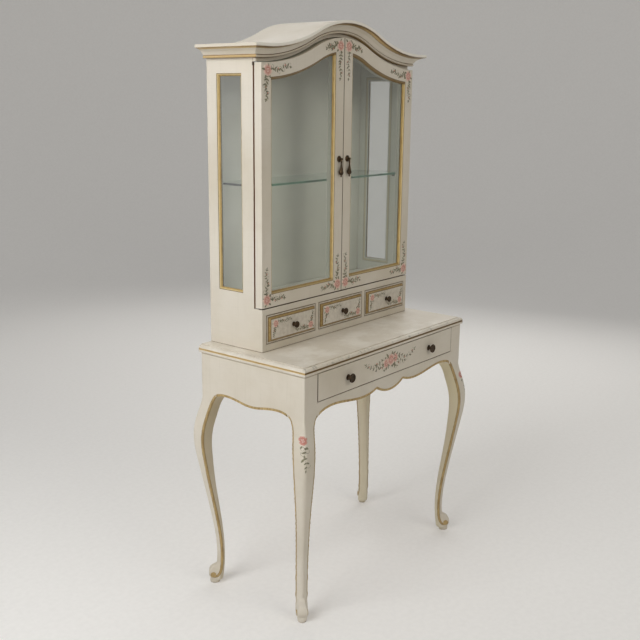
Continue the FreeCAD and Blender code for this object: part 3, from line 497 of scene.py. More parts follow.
def bead(name, node):
    """Gilded bead: brown glaze where it meets the frame, a pale crown painted as a highlight, deep gold
    towards the glass.
    """
    graph = Graph(name)
    x, y, z = graph.axes()
    low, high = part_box(node)
    on_door = node != "side_glass_beads"
    if on_door:
        top = max(level_of(vertex.co.x, vertex.co.z) for vertex in nodes[node].data.vertices)
        below_top = top - crest_level(graph)
        ends = (x - low.x, high.x - x, below_top)
    else:
        ends = (y - low.y, high.y - y, high.z - z)
    inset = z - low.z
    for end in ends:
        inset = graph.math("MINIMUM", inset, end)
    inset = inset + (graph.noise(120.0) - 0.5) * (1.6 * MM)
    grain = gold_grain(graph)
    patch = graph.noise(26.0, 5.0, 0.6)
    # Painted highlight along the bead's crown
    layers = [(inset.band(1.9 * MM, 4.4 * MM, 0.8 * MM), tone(228, 205, 152)),
              (inset.fade(0.9 * MM, 1.9 * MM, 0.9), tone(104, 80, 46)),
              (patch.ease(0.58, 0.78, 0.0, 0.5), tone(132, 104, 60))]
    if on_door:
        # Painted shade along the door bead's top run, which looks down; the bottom run is a little darker too
        layers += [(below_top.fade(7.5 * MM, 9.5 * MM, 0.8), tone(114, 90, 56)),
                   (z.fade(low.z + 7.5 * MM, low.z + 9.5 * MM, 0.45), tone(140, 112, 66))]
    base = graph.over(graph.mix(grain.ease(0.32, 0.68), tone(204, 173, 108), tone(172, 141, 82)), layers)
    return graph.dress(base, patch.ease(0.3, 0.7, 0.36, 0.56), grain, 0.18, BRUSH_DEPTH, 0.15)


def bronze(name):
    """Dark antique bronze: brown-black patina with rubbed high spots."""
    graph = Graph(name)
    patch = graph.noise(120.0, 5.0, 0.6)
    base = graph.mix(patch.ease(0.35, 0.7), tone(82, 65, 46), tone(52, 42, 33))
    base = graph.mix(graph.edges(1.2 * MM) * patch.ease(0.4, 0.6, 0.2, 0.8), base, tone(128, 102, 68))
    fine = graph.noise(900.0, 3.0, 0.6)
    return graph.dress(base, patch.ease(0.3, 0.7, 0.34, 0.52), fine, 0.15, FINE_DEPTH, 0.85)


def wood(name):
    """Bare planed drawer wood with long grain and darker pores, and painted shade in the corners."""
    graph = Graph(name)
    grain = graph.noise(1.0, 6.0, 0.6, graph.scaled(42.0, 3.0, 42.0))
    ring = graph.noise(1.0, 3.0, 0.5, graph.scaled(14.0, 0.9, 14.0))
    pore = graph.noise(1.0, 3.0, 0.7, graph.scaled(520.0, 16.0, 520.0))
    base = graph.over(graph.mix(grain.ease(0.3, 0.7), tone(190, 158, 116), tone(160, 124, 84)), [
        (ring.ease(0.45, 0.62, 0.0, 0.5), tone(140, 104, 68)),
        (pore.ease(0.62, 0.74, 0.0, 0.6), tone(104, 76, 48)),
        (graph.shade_in_hollows(12 * MM).ease(0.35, 0.85, 0.0, 0.5), tone(96, 72, 48))])
    return graph.dress(base, grain.ease(0.3, 0.7, 0.55, 0.72), pore, 0.12, BRUSH_DEPTH)


def steel(name):
    """Satin steel of the pivot hinges."""
    graph = Graph(name)
    brush = graph.noise(1.0, 4.0, 0.6, graph.scaled(900.0, 60.0, 900.0))
    base = graph.mix(brush.ease(0.3, 0.7), tone(196, 194, 188), tone(158, 156, 150))
    return graph.dress(base, brush.ease(0.3, 0.7, 0.28, 0.44), brush, 0.1, 0.1 * MM, 0.95)


PANE_GREEN = (0.48, 0.72, 0.56, 1.0)
SHELF_GREEN = (0.26, 0.70, 0.56, 1.0)


def glass(name, density, green, clear):
    """Cabinet glass, green through its depth; clear is its share of transmission, less where dust lies."""
    graph = Graph(name)
    dust = graph.noise(9.0, 5.0, 0.6)
    graph.set("Base Color", (0.978, 0.986, 0.982, 1.0))
    graph.set("Roughness", dust.ease(0.45, 0.75, 0.0, 0.05))
    graph.set("IOR", 1.45)
    graph.set("Transmission Weight", clear if clear == 1.0 else dust.ease(0.30, 0.70, clear, clear - 0.025))
    soak = graph.node("ShaderNodeVolumeAbsorption")
    soak.inputs["Color"].default_value = green
    soak.inputs["Density"].default_value = density
    graph.feed(graph.tree.nodes["Material Output"].inputs["Volume"], graph.out(soak))
    return graph.material


def flower_paint(name):
    """Painted flowers: each stroke carries its own colour, broken up by the brush."""
    graph = Graph(name)
    stroke = graph.out(graph.node("ShaderNodeVertexColor", layer_name="stroke"), "Color")
    bristle = graph.noise(420.0, 4.0, 0.65)
    base = graph.mix(bristle.ease(0.35, 0.72, 0.0, 0.30), stroke, tone(218, 208, 190))
    return graph.dress(base, bristle.ease(0.3, 0.7, 0.42, 0.60), bristle, 0.15, FINE_DEPTH)


looks = {
    "cream": paint("cream_paint_aged", case_lines),
    "cornice": paint("cream_paint_cornice", cornice_lines),
    "top": paint("cream_paint_top", top_lines),
    "leg": paint("cream_paint_leg", leg_lines),
    "gilding": gilding("gilding_glazed"),
    "bronze": bronze("bronze_antique"),
    "bare_wood": wood("wood_planed"),
    "steel": steel("steel_satin"),
    "glass": glass("glass_pane", 8.0, PANE_GREEN, 0.985),
    "side_glass": glass("glass_pane_side", 8.0, PANE_GREEN, 0.94),
    "shelf": glass("glass_shelf_green", 15.0, SHELF_GREEN, 1.0),
    "flowers": flower_paint("flower_paint"),
}

special = {"desk_top": "top", "side_glass": "side_glass", "glass_shelf": "shelf", "shelf_pins": "bronze"}
for name in ("side_glass_beads", "left_door_beads", "right_door_beads"):
    looks[name] = bead("gilding_" + name, name)
    special[name] = name
for name in ("cornice_front", "cornice_left", "cornice_right", "roof_board", "frieze_board"):
    special[name] = "cornice"
for name in ("left_drawer_front", "middle_drawer_front", "right_drawer_front", "desk_drawer_front"):
    looks[name] = paint("cream_paint_" + name, front_lines(name), name != "desk_drawer_front")
    special[name] = name
for name, piece in nodes.items():
    slot = piece.data.materials[0].name.split(".")[0]
    look = special.get(name, "cream" if slot == "cream_paint" else slot)
    piece.data.materials[0] = looks[look]
    if slot == "glass":
        piece.visible_shadow = False


# Pieces made of meshes

def put(name, data):
    piece = bpy.data.objects.new(name, data)
    bpy.context.scene.collection.objects.link(piece)
    return piece


def make(name, points, faces, look, body, slot=None, smooth=False):
    mesh = bpy.data.meshes.new(name)
    mesh.from_pydata(points, [], faces)
    mesh.update()
    mesh.materials.append(looks[look])
    if smooth:
        mesh.polygons.foreach_set("use_smooth", [True] * len(mesh.polygons))
    piece = put(name, mesh)
    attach(piece, body)
    return piece


def sweep(rings, last_cap=True):
    """Points and faces of a tube through rings of corners, with a first cap and, if asked, a last one."""
    points = [corner for ring in rings for corner in ring]
    count = len(rings[0])
    faces = [tuple(reversed(range(count)))]
    for start in range(0, len(points) - count, count):
        for side in range(count):
            after = (side + 1) % count
            faces.append((start + side, start + after, start + count + after, start + count + side))
    if last_cap:
        faces.append(tuple(range(len(points) - count, len(points))))
    return points, faces


def join(parts):
    points, faces = [], []
    for more_points, more_faces in parts:
        start = len(points)
        points += more_points
        faces += [tuple(corner + start for corner in face) for face in more_faces]
    return points, faces


def in_metres(outline):
    return [tuple(value * MM for value in pair) for pair in outline]


def round_turn(sides):
    """Angles of the corners of a ring."""
    return [2 * math.pi * step / sides for step in range(sides)]


def lathe(outline, place, axis, spoke, sides=48):
    """Turned form: outline gives radius and distance along axis from place, from one end to the other."""
    other = axis.cross(spoke)
    rings = []
    for radius, distance in outline:
        rings.append([place + axis * distance + (spoke * math.cos(turn) + other * math.sin(turn)) * radius
                      for turn in round_turn(sides)])
    return sweep(rings)


def smooth_line(values, steps):
    """Catmull-Rom line through a few points."""
    result = []
    for index in range(len(values) - 1):
        a = values[max(index - 1, 0)]
        b, c = values[index], values[index + 1]
        d = values[min(index + 2, len(values) - 1)]
        for step in range(steps):
            t = step / steps
            result.append(tuple(0.5 * (2 * q + (r - p) * t + (2 * p - 5 * q + 4 * r - s) * t * t
                                       + (3 * q - p - 3 * r + s) * t ** 3) for p, q, r, s in zip(a, b, c, d)))
    return result + [values[-1]]


# Legs, carved soft, with painted gold lines along their arrises and a gilded eye on both sides of every toe

CARVING_STEP = 2.2 * MM
# Where the smoothing and the narrowing of the toes start and reach their full share
FREE_BELOW, FREE_ABOVE = (KNEE_LINE + 6 * MM, KNEE_LINE - 8 * MM), (1 * MM, 5 * MM)
TOE_BELOW, TOE_ABOVE = (70 * MM, 56 * MM), (8 * MM, 16 * MM)
PINCH_INSETS, PINCH_HEIGHTS = (46 * MM, 28 * MM), (84 * MM, 58 * MM)
PINCH_SHARE = 0.13
ARRIS_LOW, ARRIS_HIGH = 78 * MM, KNEE_LINE + 12 * MM
ARRIS_SHARE = 0.9
LEAST_LEVEL = 0.3
TOE_HALF = 17.5 * MM
TOE_LINE = ((51.0, 66.0), (49.0, 50.0), (44.5, 36.0), (37.0, 26.0), (29.0, 22.5), (22.0, 24.0))
TOE_LINE_TOP = 80 * MM
TOE_LINE_SLIM = 2.4 * MM
GOLD_REACH = 10 * MM
GOLD_STEPS = 24
EYE_HEIGHT = 29 * MM
EYE_INSET = 24 * MM
EYE_OUTLINE = ((8.6, -2.5), (8.6, 0.5), (7.7, 1.2), (6.7, 1.3), (5.8, 0.7), (4.6, 0.6), (3.8, 1.1),
               (2.4, 1.8), (0.8, 2.0))
EYE_SIDES = 32
LINE_STEP = 2.5 * MM
CLEAR = 100 * MM


def ramp(values, start, end):
    """Nought before start, one past end, and straight between."""
    return np.clip((values - start) / (end - start), 0, 1)


def smoothed(points, mesh, weight, rounds, pull, push):
    """Points moved towards the middle of their neighbours by pull, then by push, a few times over."""
    ends = np.empty(len(mesh.edges) * 2, dtype=np.int32)
    mesh.edges.foreach_get("vertices", ends)
    ends = ends.reshape(-1, 2)
    count = np.bincount(ends.ravel(), minlength=len(points)).astype(float)[:, None]
    for strength in (pull, push) * rounds:
        total = np.zeros_like(points)
        np.add.at(total, ends[:, 0], points[ends[:, 1]])
        np.add.at(total, ends[:, 1], points[ends[:, 0]])
        points = points + weight * strength * (total / count - points)
    return points


def pinched(points, out_x, out_y):
    """Narrows the scroll of a toe, in front of the ankle."""
    out = np.array((out_x, out_y, 0)) / math.sqrt(2)
    across = np.array((-out[1], out[0], 0))
    corner = np.array((APRON_X * out_x, APRON_Y * out_y, 0))
    inset = (corner - points) @ out
    side = (points - corner) @ across
    share = ramp(inset, *PINCH_INSETS) * ramp(points[:, 2], *PINCH_HEIGHTS)
    share = share * share * (3 - 2 * share)
    return points - across * (side * share * PINCH_SHARE)[:, None]


def carve(name, out_x, out_y):
    """Fine, even copy of a leg, its edges softly rounded below the aprons, and a tree to aim at it."""
    source = put("carving", nodes[name].data)
    even = source.modifiers.new("even", "REMESH")
    even.mode = "VOXEL"
    even.voxel_size = CARVING_STEP
    evaluated = source.evaluated_get(bpy.context.evaluated_depsgraph_get())
    mesh = bpy.data.meshes.new_from_object(evaluated)
    bpy.data.objects.remove(source)
    points = np.empty(len(mesh.vertices) * 3)
    mesh.vertices.foreach_get("co", points)
    points = points.reshape(-1, 3)
    height = points[:, 2:3]
    free = ramp(height, *FREE_BELOW) * ramp(height, *FREE_ABOVE)
    toe = ramp(height, *TOE_BELOW) * ramp(height, *TOE_ABOVE)
    points = smoothed(points, mesh, free, 5, 0.5, 0.0)
    points = smoothed(points, mesh, toe, 14, 0.5, 0.0)
    points = smoothed(points, mesh, free, 8, 0.5, -0.52)
    points = pinched(points, out_x, out_y)
    mesh.vertices.foreach_set("co", points.ravel())
    mesh.polygons.foreach_set("use_smooth", [True] * len(mesh.polygons))
    mesh.materials.clear()
    mesh.materials.append(looks["leg"])
    mesh.update()
    piece = put(name + "_carved", mesh)
    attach(piece, CASE)
    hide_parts(name)
    return piece, BVHTree.FromPolygons([vertex.co for vertex in mesh.vertices],
                                       [tuple(face.vertices) for face in mesh.polygons])


def sharp_line(node, first, second, sort, keep):
    """Corner points of a node where a face that passes the test first meets one that passes second."""
    mesh = nodes[node].data
    edges = {}
    for face in mesh.polygons:
        corners = [tuple(round(value, 6) for value in mesh.vertices[index].co) for index in face.vertices]
        for a, b in zip(corners, corners[1:] + corners[:1]):
            edges.setdefault(frozenset((a, b)), []).append(face.normal.copy())
    points = set()
    for edge, normals in edges.items():
        if len(edge) == 2 and len(normals) == 2:
            one, two = normals
            if (first(one) and second(two)) or (first(two) and second(one)):
                points |= edge
    line = []
    for point in sorted((Vector(point) for point in points if keep(Vector(point))), key=sort):
        if not line or (point - line[-1]).length > LINE_STEP:
            line.append(point)
    return line


def facing(direction, share):
    """Test for normals that look along a direction."""
    return lambda normal: normal.dot(direction) > share


def level_facing(direction, share):
    """Test for normals that look along a direction, seen from above."""
    def test(normal):
        level = Vector((normal.x, normal.y, 0))
        return level.length > LEAST_LEVEL and level.normalized().dot(direction) > share
    return test


def gild_leg(name, piece, tree, out_x, out_y):
    """Gold along both arrises, curling round the toe into its eye; the points keep how close they are."""
    spots, eyes = [], []
    out = Vector((out_x, out_y, 0)).normalized()
    corner = Vector((APRON_X * out_x, APRON_Y * out_y, 0))
    for outer, inner in ((Vector((out_x, 0, 0)), Vector((0, -out_y, 0))),
                         (Vector((0, out_y, 0)), Vector((-out_x, 0, 0)))):
        across = (outer + inner).normalized()
        line = sharp_line(name, level_facing(outer, ARRIS_SHARE), level_facing(inner, ARRIS_SHARE),
                          lambda point: -point.z, lambda point: ARRIS_LOW < point.z < ARRIS_HIGH)
        for inset, height in in_metres(TOE_LINE):
            line.append(corner - out * inset + across * TOE_HALF + UP * height)
        for point in smooth_line([tuple(place) for place in line], GOLD_STEPS):
            spots.append(tree.find_nearest(Vector(point))[0])
        spot = corner - out * EYE_INSET + UP * EYE_HEIGHT
        hit = tree.ray_cast(spot + across * CLEAR, -across)[0]
        eyes.append(lathe(in_metres(EYE_OUTLINE), hit, across, UP, EYE_SIDES))
    close = KDTree(len(spots))
    for index, spot in enumerate(spots):
        close.insert(spot, index)
    close.balance()
    values = []
    for vertex in piece.data.vertices:
        slim = TOE_LINE_SLIM * min(max((TOE_LINE_TOP - vertex.co.z) / TOE_LINE_TOP, 0), 1)
        values.append(max(0, 1 - (close.find(vertex.co)[2] + slim) / GOLD_REACH))
    piece.data.attributes.new("gold", "FLOAT", "POINT").data.foreach_set("value", values)
    make(name + "_toe_eyes", *join(eyes), "gilding", CASE, "gilding", True)


# Gold lines along the aprons, and skins of paint over their joints

WIDE, WRAP, PROUD, SUNK = 6.6 * MM, 5.0 * MM, 0.3 * MM, 0.4 * MM
# Corners of a gold line: how far each stands out of the face, and past the edge
STRIP_RING = ((PROUD, -WIDE), (PROUD, PROUD), (-WRAP, PROUD), (-WRAP, -SUNK), (-SUNK, -SUNK), (-SUNK, -WIDE))
STRIP_OVERRUN = 3 * MM
APRON_EDGE_TOP = KNEE_LINE + 20 * MM
FACE_SHARE, UNDER_SHARE = 0.95, 0.25
FACE_TOLERANCE = 0.05 * MM
SKIN_OUTLINE = ((-8, -0.4), (-7.4, 0.18), (7.4, 0.18), (8, -0.4))
SKIN_BASE = KNEE_LINE + 9 * MM
SIDE_SKIN_TOP = TOP_BASE - 0.2 * MM
RAIL_SKIN_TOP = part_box("desk_drawer_front")[0].z - 3.2 * MM


def edge_strip(line, out, edge_out):
    """Thin line of gold laid round a corner, on the face that looks along out and on the edge beside it."""
    return sweep([[point + out * rise + away * reach for rise, reach in STRIP_RING]
                  for point, away in zip(line, edge_out)])


def gild_aprons():
    for name, out, along in (("side_apron_left", -RIGHT, 1), ("side_apron_right", RIGHT, 1),
                             ("front_apron", FRONT, 0)):
        line = sharp_line(name, facing(out, FACE_SHARE), facing(-UP, UNDER_SHARE),
                          lambda point: point[along], lambda point: point.z < APRON_EDGE_TOP)
        line = [line[0] + (line[0] - line[1]).normalized() * STRIP_OVERRUN] + line
        line.append(line[-1] + (line[-1] - line[-2]).normalized() * STRIP_OVERRUN)
        edge_out = []
        for index in range(len(line)):
            run = line[min(index + 1, len(line) - 1)] - line[max(index - 1, 0)]
            across = run.cross(out).normalized()
            edge_out.append(across if across.z < 0 else -across)
        make(name + "_gold_line", *edge_strip(line, out, edge_out), "gilding", CASE, "gilding")


def paint_over(name, corner, out, along, top):
    """Skin of paint that bridges the joint between a leg and an apron, broad, thin and feathered out."""
    rings = [[corner + along * reach + out * rise + UP * z for reach, rise in in_metres(SKIN_OUTLINE)]
             for z in (SKIN_BASE, top)]
    make(name, *sweep(rings), "leg", CASE, "cream_paint")


def shoulders(node, face, axis, along):
    """Ends of an apron's show face, where its tenons start."""
    places = [vertex.co for vertex in nodes[node].data.vertices]
    shown = [place[along] for place in places if abs(place[axis] - face) < FACE_TOLERANCE]
    return min(shown), max(shown)


def paint_joints():
    for side, out in (("left", -RIGHT), ("right", RIGHT)):
        face = APRON_X * out.x
        for end, y in zip(("front", "rear"), shoulders("side_apron_" + side, face, 0, 1)):
            paint_over("side_joint_" + end + "_" + side, Vector((face, y, 0)), out, -FRONT, SIDE_SKIN_TOP)
    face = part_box("front_apron")[0].y
    for side, x in zip(("left", "right"), shoulders("front_apron", face, 1, 0)):
        paint_over("rail_joint_" + side, Vector((x, face, 0)), FRONT, RIGHT, RAIL_SKIN_TOP)


carved = {}
for end, out_y in (("front", -1), ("rear", 1)):
    for side, out_x in (("left", -1), ("right", 1)):
        leg = "leg_" + end + "_" + side
        piece, carved[leg] = carve(leg, out_x, out_y)
        gild_leg(leg, piece, carved[leg], out_x, out_y)
gild_aprons()
paint_joints()


# Turned hardware

KNOB_BASE = ((1.00, 0.00), (1.00, 0.05), (0.92, 0.09), (0.70, 0.12), (0.48, 0.18), (0.40, 0.30), (0.42, 0.45))
KNOB_HEAD = ((0.34, 0.54), (0.62, 0.62), (0.88, 0.70), (0.99, 0.80), (1.00, 0.87), (0.96, 0.95),
             (0.88, 0.995), (0.80, 0.985), (0.73, 0.93), (0.62, 0.905), (0.40, 0.90), (0.20, 0.915),
             (0.06, 0.92))
TURNED_STEPS = 3
SMALL_KNOB_BASE = 7 * MM
LONG_KNOB_BASE = 9 * MM
DROP_OUTLINE = ((2.6, 5.8), (3.2, 6.8), (3.0, 8.0), (2.6, 9.6), (2.5, 14.0), (2.8, 19.0), (3.7, 25.5),
                (5.2, 32.0), (6.6, 37.5), (7.0, 40.5), (6.5, 43.2), (4.8, 45.4), (2.7, 46.9), (2.3, 47.8),
                (2.6, 48.8), (2.5, 50.2), (1.9, 51.6), (1.4, 52.8), (0.7, 53.8), (0.2, 54.0))
TANG_OUTLINE = ((2.0, 6.0), (2.3, 3.4), (2.35, 0.8), (1.7, -1.7), (0.5, -2.35))
TANG_HALF = 1.5 * MM
PIN_DEPTH = 2.9 * MM
ROSE_OUTLINE = ((9.8, 0.0), (9.8, 1.6), (9.3, 2.4), (8.7, 2.75), (8.0, 3.0), (7.4, 3.7), (6.2, 4.4),
                (4.4, 4.7))
ROSE_LOBES = 8
ROSE_LOBE_SHARE = 0.06
ROSE_SIDES = 72


def knob(centre, reach, base, head):
    outline = [(base * radius, reach * share) for radius, share in KNOB_BASE]
    outline += [(head * radius, reach * share) for radius, share in KNOB_HEAD]
    return lathe(smooth_line(outline, TURNED_STEPS), centre, FRONT, UP)


def knobs():
    for side in ("left", "middle", "right"):
        low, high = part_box(side + "_drawer_knob")
        centre = Vector(((low.x + high.x) / 2, high.y, (low.z + high.z) / 2))
        form = knob(centre, high.y - low.y, SMALL_KNOB_BASE, (high.z - low.z) / 2)
        piece = make(side + "_drawer_turned_knob", *form, "bronze", side + "_drawer", "bronze", True)
        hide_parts(side + "_drawer_knob")
    low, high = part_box("desk_drawer_knobs")
    radius = (high.z - low.z) / 2
    parts = [knob(Vector((x, high.y, (low.z + high.z) / 2)), high.y - low.y, LONG_KNOB_BASE, radius)
             for x in (low.x + radius, high.x - radius)]
    piece = make("desk_drawer_turned_knobs", *join(parts), "bronze", "desk_drawer", "bronze", True)
    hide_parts("desk_drawer_knobs")


def pulls():
    """Turned drops on their own bodies, and a scalloped rose behind each fork."""
    for side in ("left", "right"):
        low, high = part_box(side + "_pull_mount")
        centre = Vector(((low.x + high.x) / 2, low.y + PIN_DEPTH, (low.z + high.z) / 2))
        tear = lathe(smooth_line(in_metres(DROP_OUTLINE), TURNED_STEPS), centre, -UP, RIGHT)
        tang = [[centre + RIGHT * across * TANG_HALF - FRONT * depth * radius - UP * drop
                 for across, depth in ((-1, -1), (1, -1), (1, 1), (-1, 1))]
                for radius, drop in in_metres(TANG_OUTLINE)]
        form = join([tear, sweep(tang)])
        piece = make(side + "_pull_turned_drop", *form, "bronze", side + "_pull", "bronze", True)
        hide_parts(side + "_pull_drop")
        seat = Vector((centre.x, high.y, centre.z))
        rings = []
        for radius, distance in in_metres(ROSE_OUTLINE):
            ring = []
            for turn in round_turn(ROSE_SIDES):
                hollow = ROSE_LOBE_SHARE * (radius / ROSE_OUTLINE[0][0] / MM)
                lobe = radius * (1 - hollow * (0.5 + 0.5 * math.cos(ROSE_LOBES * turn)))
                ring.append(seat + FRONT * distance + (RIGHT * math.cos(turn) + UP * math.sin(turn)) * lobe)
            rings.append(ring)
        make(side + "_pull_rose", *sweep(rings), "bronze", side + "_door", "bronze", True)


knobs()
pulls()


# Painted roses, leaves and vines, in millimetres on the faces that carry them

PINKS = (tone(240, 221, 206), tone(224, 171, 156), tone(205, 128, 114), tone(180, 90, 80))
GREENS = (tone(118, 116, 86), tone(98, 96, 68), tone(132, 128, 96), tone(88, 88, 62))
STEM = tone(104, 100, 74)
BUD = tone(200, 124, 108)
LEAST_LEAF = 2.0
EDGE_MARGIN = 2.0
PAINT_RISE = 0.20
LAYER_RISE = 0.004
DAB_CROWN = 0.16
STEM_RISE = 0.16
PAINT_ROOT = -0.3
DAB_SIDES = 10
VINE_STEPS = 5
VINE_THINNING_SHARE = 0.55
LEAF_WIDTH_SHARE, LEAF_SHRINK_SHARE, LEAF_TAPER = 0.40, 0.85, -0.45
BUD_SPREAD, BUD_REACH_SHARE, BUD_WIDTH_SHARE, BUD_TAPER = 0.5, 0.6, 0.75, 0.2
CURL_STEPS, CURL_TURN, CURL_WIDTH = 7, 0.62, 0.9
CURL_STEP_SHARE, CURL_SHORTENING_SHARE = 0.36, 0.035
ROSE_LEAVES, ROSE_LEAF_REACH_SHARE, ROSE_LEAF_LENGTH_SHARE = 5, 0.55, 0.78
HEART_LENGTH_SHARE, HEART_WIDTH_SHARE = 0.26, 0.18
PETAL_TAPER = 0.25
# Rounds of petals: their number, reach, length and width as shares of the radius, and two shades of pink
PETAL_ROUNDS = ((7, 0.68, 0.60, 0.66, 2, 0), (5, 0.42, 0.52, 0.60, 3, 1), (4, 0.20, 0.40, 0.42, 2, 0))


def blend_tone(first, second, share):
    return tuple(a + (b - a) * share for a, b in zip(first, second))


def ahead(u, v, turn, distance):
    """Point at a distance from u, v in the direction turn."""
    return u + math.cos(turn) * distance, v + math.sin(turn) * distance


class Painting:
    """Thin raised brush strokes on a surface.

    place(u, v, height) gives the point on the surface; holds(u, v) says whether it is clear of the edges.
    """

    def __init__(self, place, seed, holds=lambda u, v: True):
        self.place = place
        self.holds = holds
        self.draw = random.Random(seed)
        self.parts = []
        self.colours = []
        self.layer = PAINT_RISE

    def stroke(self, u, v, turn, length, width, near, far, taper):
        """Closed, slightly domed dab: near is the colour at its start, far at its tip."""
        self.layer += LAYER_RISE
        cosine, sine = math.cos(turn), math.sin(turn)
        rings = []
        for scale, height in ((1.0, PAINT_ROOT), (0.97, self.layer), (0.55, self.layer + DAB_CROWN)):
            ring = []
            for angle in round_turn(DAB_SIDES):
                along = math.cos(angle) * length / 2 * scale
                side = math.sin(angle) * width / 2 * scale * (1 + taper * math.cos(angle))
                spot = u + along * cosine - side * sine, v + along * sine + side * cosine
                ring.append(self.place(*spot, height))
                self.colours.append(blend_tone(near, far, 0.5 + 0.5 * math.cos(angle) * scale))
            rings.append(ring)
        self.parts.append(sweep(rings))

    def vine(self, path, width=1.0):
        """Thin stem along a line of points."""
        line = smooth_line(path, VINE_STEPS)
        rings = []
        for index, (u, v) in enumerate(line):
            after, before = line[min(index + 1, len(line) - 1)], line[max(index - 1, 0)]
            run = math.hypot(after[0] - before[0], after[1] - before[1]) or 1.0
            side_u, side_v = -(after[1] - before[1]) / run, (after[0] - before[0]) / run
            thick = width * (1 - VINE_THINNING_SHARE * index / len(line)) / 2
            outline = ((-thick, PAINT_ROOT), (-thick, STEM_RISE), (thick, STEM_RISE), (thick, PAINT_ROOT))
            rings.append([self.place(u + side_u * reach, v + side_v * reach, height)
                          for reach, height in outline])
            self.colours += [STEM] * len(outline)
        self.parts.append(sweep(rings))
        return line

    def leaf(self, u, v, turn, length):
        near, far = self.draw.sample(GREENS, 2)
        while length > LEAST_LEAF and not self.holds(*ahead(u, v, turn, length)):
            length *= LEAF_SHRINK_SHARE
        spot = ahead(u, v, turn, length / 2)
        self.stroke(*spot, turn, length, length * LEAF_WIDTH_SHARE, near, far, LEAF_TAPER)

    def bud(self, u, v, turn, size):
        self.leaf(u, v, turn + BUD_SPREAD, size)
        self.leaf(u, v, turn - BUD_SPREAD, size)
        spot = ahead(u, v, turn, size * BUD_REACH_SHARE)
        self.stroke(*spot, turn, size, size * BUD_WIDTH_SHARE, BUD, PINKS[1], BUD_TAPER)

    def curl(self, u, v, turn, size, hand):
        """Thin tendril that curls in on itself, and stops at the surface's edge."""
        path = []
        for step in range(CURL_STEPS):
            if not self.holds(u, v):
                break
            path.append((u, v))
            length = size * (CURL_STEP_SHARE - CURL_SHORTENING_SHARE * step)
            u, v = ahead(u, v, turn + hand * CURL_TURN * step, length)
        if len(path) > 1:
            self.vine(path, CURL_WIDTH)

    def rose(self, u, v, radius, turn=0.0, leaves=ROSE_LEAVES, deep=0):
        """Cabbage rose on a few leaves: three rounds of petals about a dark heart; deep darkens the pinks."""
        for leaf in range(leaves):
            angle = turn + 2 * math.pi * leaf / ROSE_LEAVES + self.draw.uniform(-0.3, 0.3)
            spot = ahead(u, v, angle, radius * ROSE_LEAF_REACH_SHARE)
            self.leaf(*spot, angle, radius * ROSE_LEAF_LENGTH_SHARE)
        for count, reach, length, width, dark, pale in PETAL_ROUNDS:
            offset = turn + self.draw.uniform(0, 1)
            near = PINKS[min(dark + deep, 3)]
            far = PINKS[pale + deep] if count > 4 else PINKS[pale]
            for petal in range(count):
                angle = offset + 2 * math.pi * petal / count + self.draw.uniform(-0.15, 0.15)
                grow = radius * self.draw.uniform(0.88, 1.12)
                spot = ahead(u, v, angle, radius * reach)
                self.stroke(*spot, angle, length * grow, width * grow, near, far, PETAL_TAPER)
        heart = radius * HEART_LENGTH_SHARE, radius * HEART_WIDTH_SHARE
        self.stroke(u, v, turn, *heart, PINKS[3], PINKS[2], 0.0)

    def spray(self, path, leaf_length, buds=2):
        """Vine with leaves and tendrils on both sides, small buds, and a leaf at its end."""
        line = self.vine(path)
        last = len(line) - 1
        side = 1
        for index in range(2, last, 3):
            u, v = line[index]
            heading = math.atan2(line[index + 1][1] - v, line[index + 1][0] - u)
            size = leaf_length * (1.1 - 0.4 * index / last) * self.draw.uniform(0.8, 1.2)
            self.leaf(u, v, heading + side * self.draw.uniform(0.6, 1.2), size)
            if self.draw.random() < 0.5:
                self.leaf(u, v, heading - side * self.draw.uniform(0.7, 1.4), size * 0.8)
            else:
                self.curl(u, v, heading - side * 0.7, leaf_length * 0.9, -side)
            side = -side
        u, v = line[-1]
        self.leaf(u, v, math.atan2(v - line[-2][1], u - line[-2][0]), leaf_length * 0.7)
        for number in range(buds):
            u, v = line[int(last * (0.45 + 0.35 * number))]
            self.bud(u, v, self.draw.uniform(0, 2 * math.pi), leaf_length * 0.62)

    def build(self, name, body):
        piece = make(name, *join(self.parts), "flowers", body, None, True)
        layer = piece.data.color_attributes.new("stroke", "FLOAT_COLOR", "POINT")
        layer.data.foreach_set("color", [value for colour in self.colours for value in colour])


def upright(x, y, z):
    """Flat surface that looks to the front, with its origin at x, y, z."""
    return lambda u, v, height: Vector((x + u * MM, y - height * MM, z + v * MM))


def wave(start, end, sway, turns=3):
    """Points of a gently swaying line."""
    length = math.hypot(end[0] - start[0], end[1] - start[1])
    side_u, side_v = -(end[1] - start[1]) / length, (end[0] - start[0]) / length
    points = []
    for step in range(turns * 2 + 1):
        share = step / (turns * 2)
        swing = sway * math.sin(share * turns * math.pi)
        points.append((start[0] + (end[0] - start[0]) * share + side_u * swing,
                       start[1] + (end[1] - start[1]) * share + side_v * swing))
    return points


DOOR_SEEDS = {"left": 11, "right": 12}
DRAWER_SEEDS = {"left": 21, "middle": 22, "right": 23}
LONG_DRAWER_SEED = 31
KNEE_SEEDS = {"left": 41, "right": 42}
DOOR_ROSE, DRAWER_ROSE, KNEE_ROSE = 17.5, 12.8, 13.0
DOOR_LEAF, DOOR_SWAY = 11.0, 4.0
INNER_ROSE_INSET, OUTER_ROSE_INSET = 20, 19
LOW_ROSE_LIFT, END_ROSE_DROP, MIDDLE_ROSE_DROP = 23, 21, 22
END_ROSE_SHIFT = 6
VINE_START = 12
STILE_VINE, RAIL_VINE, RAIL_VINE_DROP = 86, 74, 3
END_VINE, MIDDLE_VINE = 76, 92
ARCH_VINE_OUTER, ARCH_VINE_INNER, ARCH_VINE_DROP = 98, 62, 20
ARCH_VINE_STEPS = 6
KNEE_ROSE_HEIGHT = 555 * MM
HALF_MEETING_GAP = 1.5
LONG_DRAWER_LIFT = 3 * MM
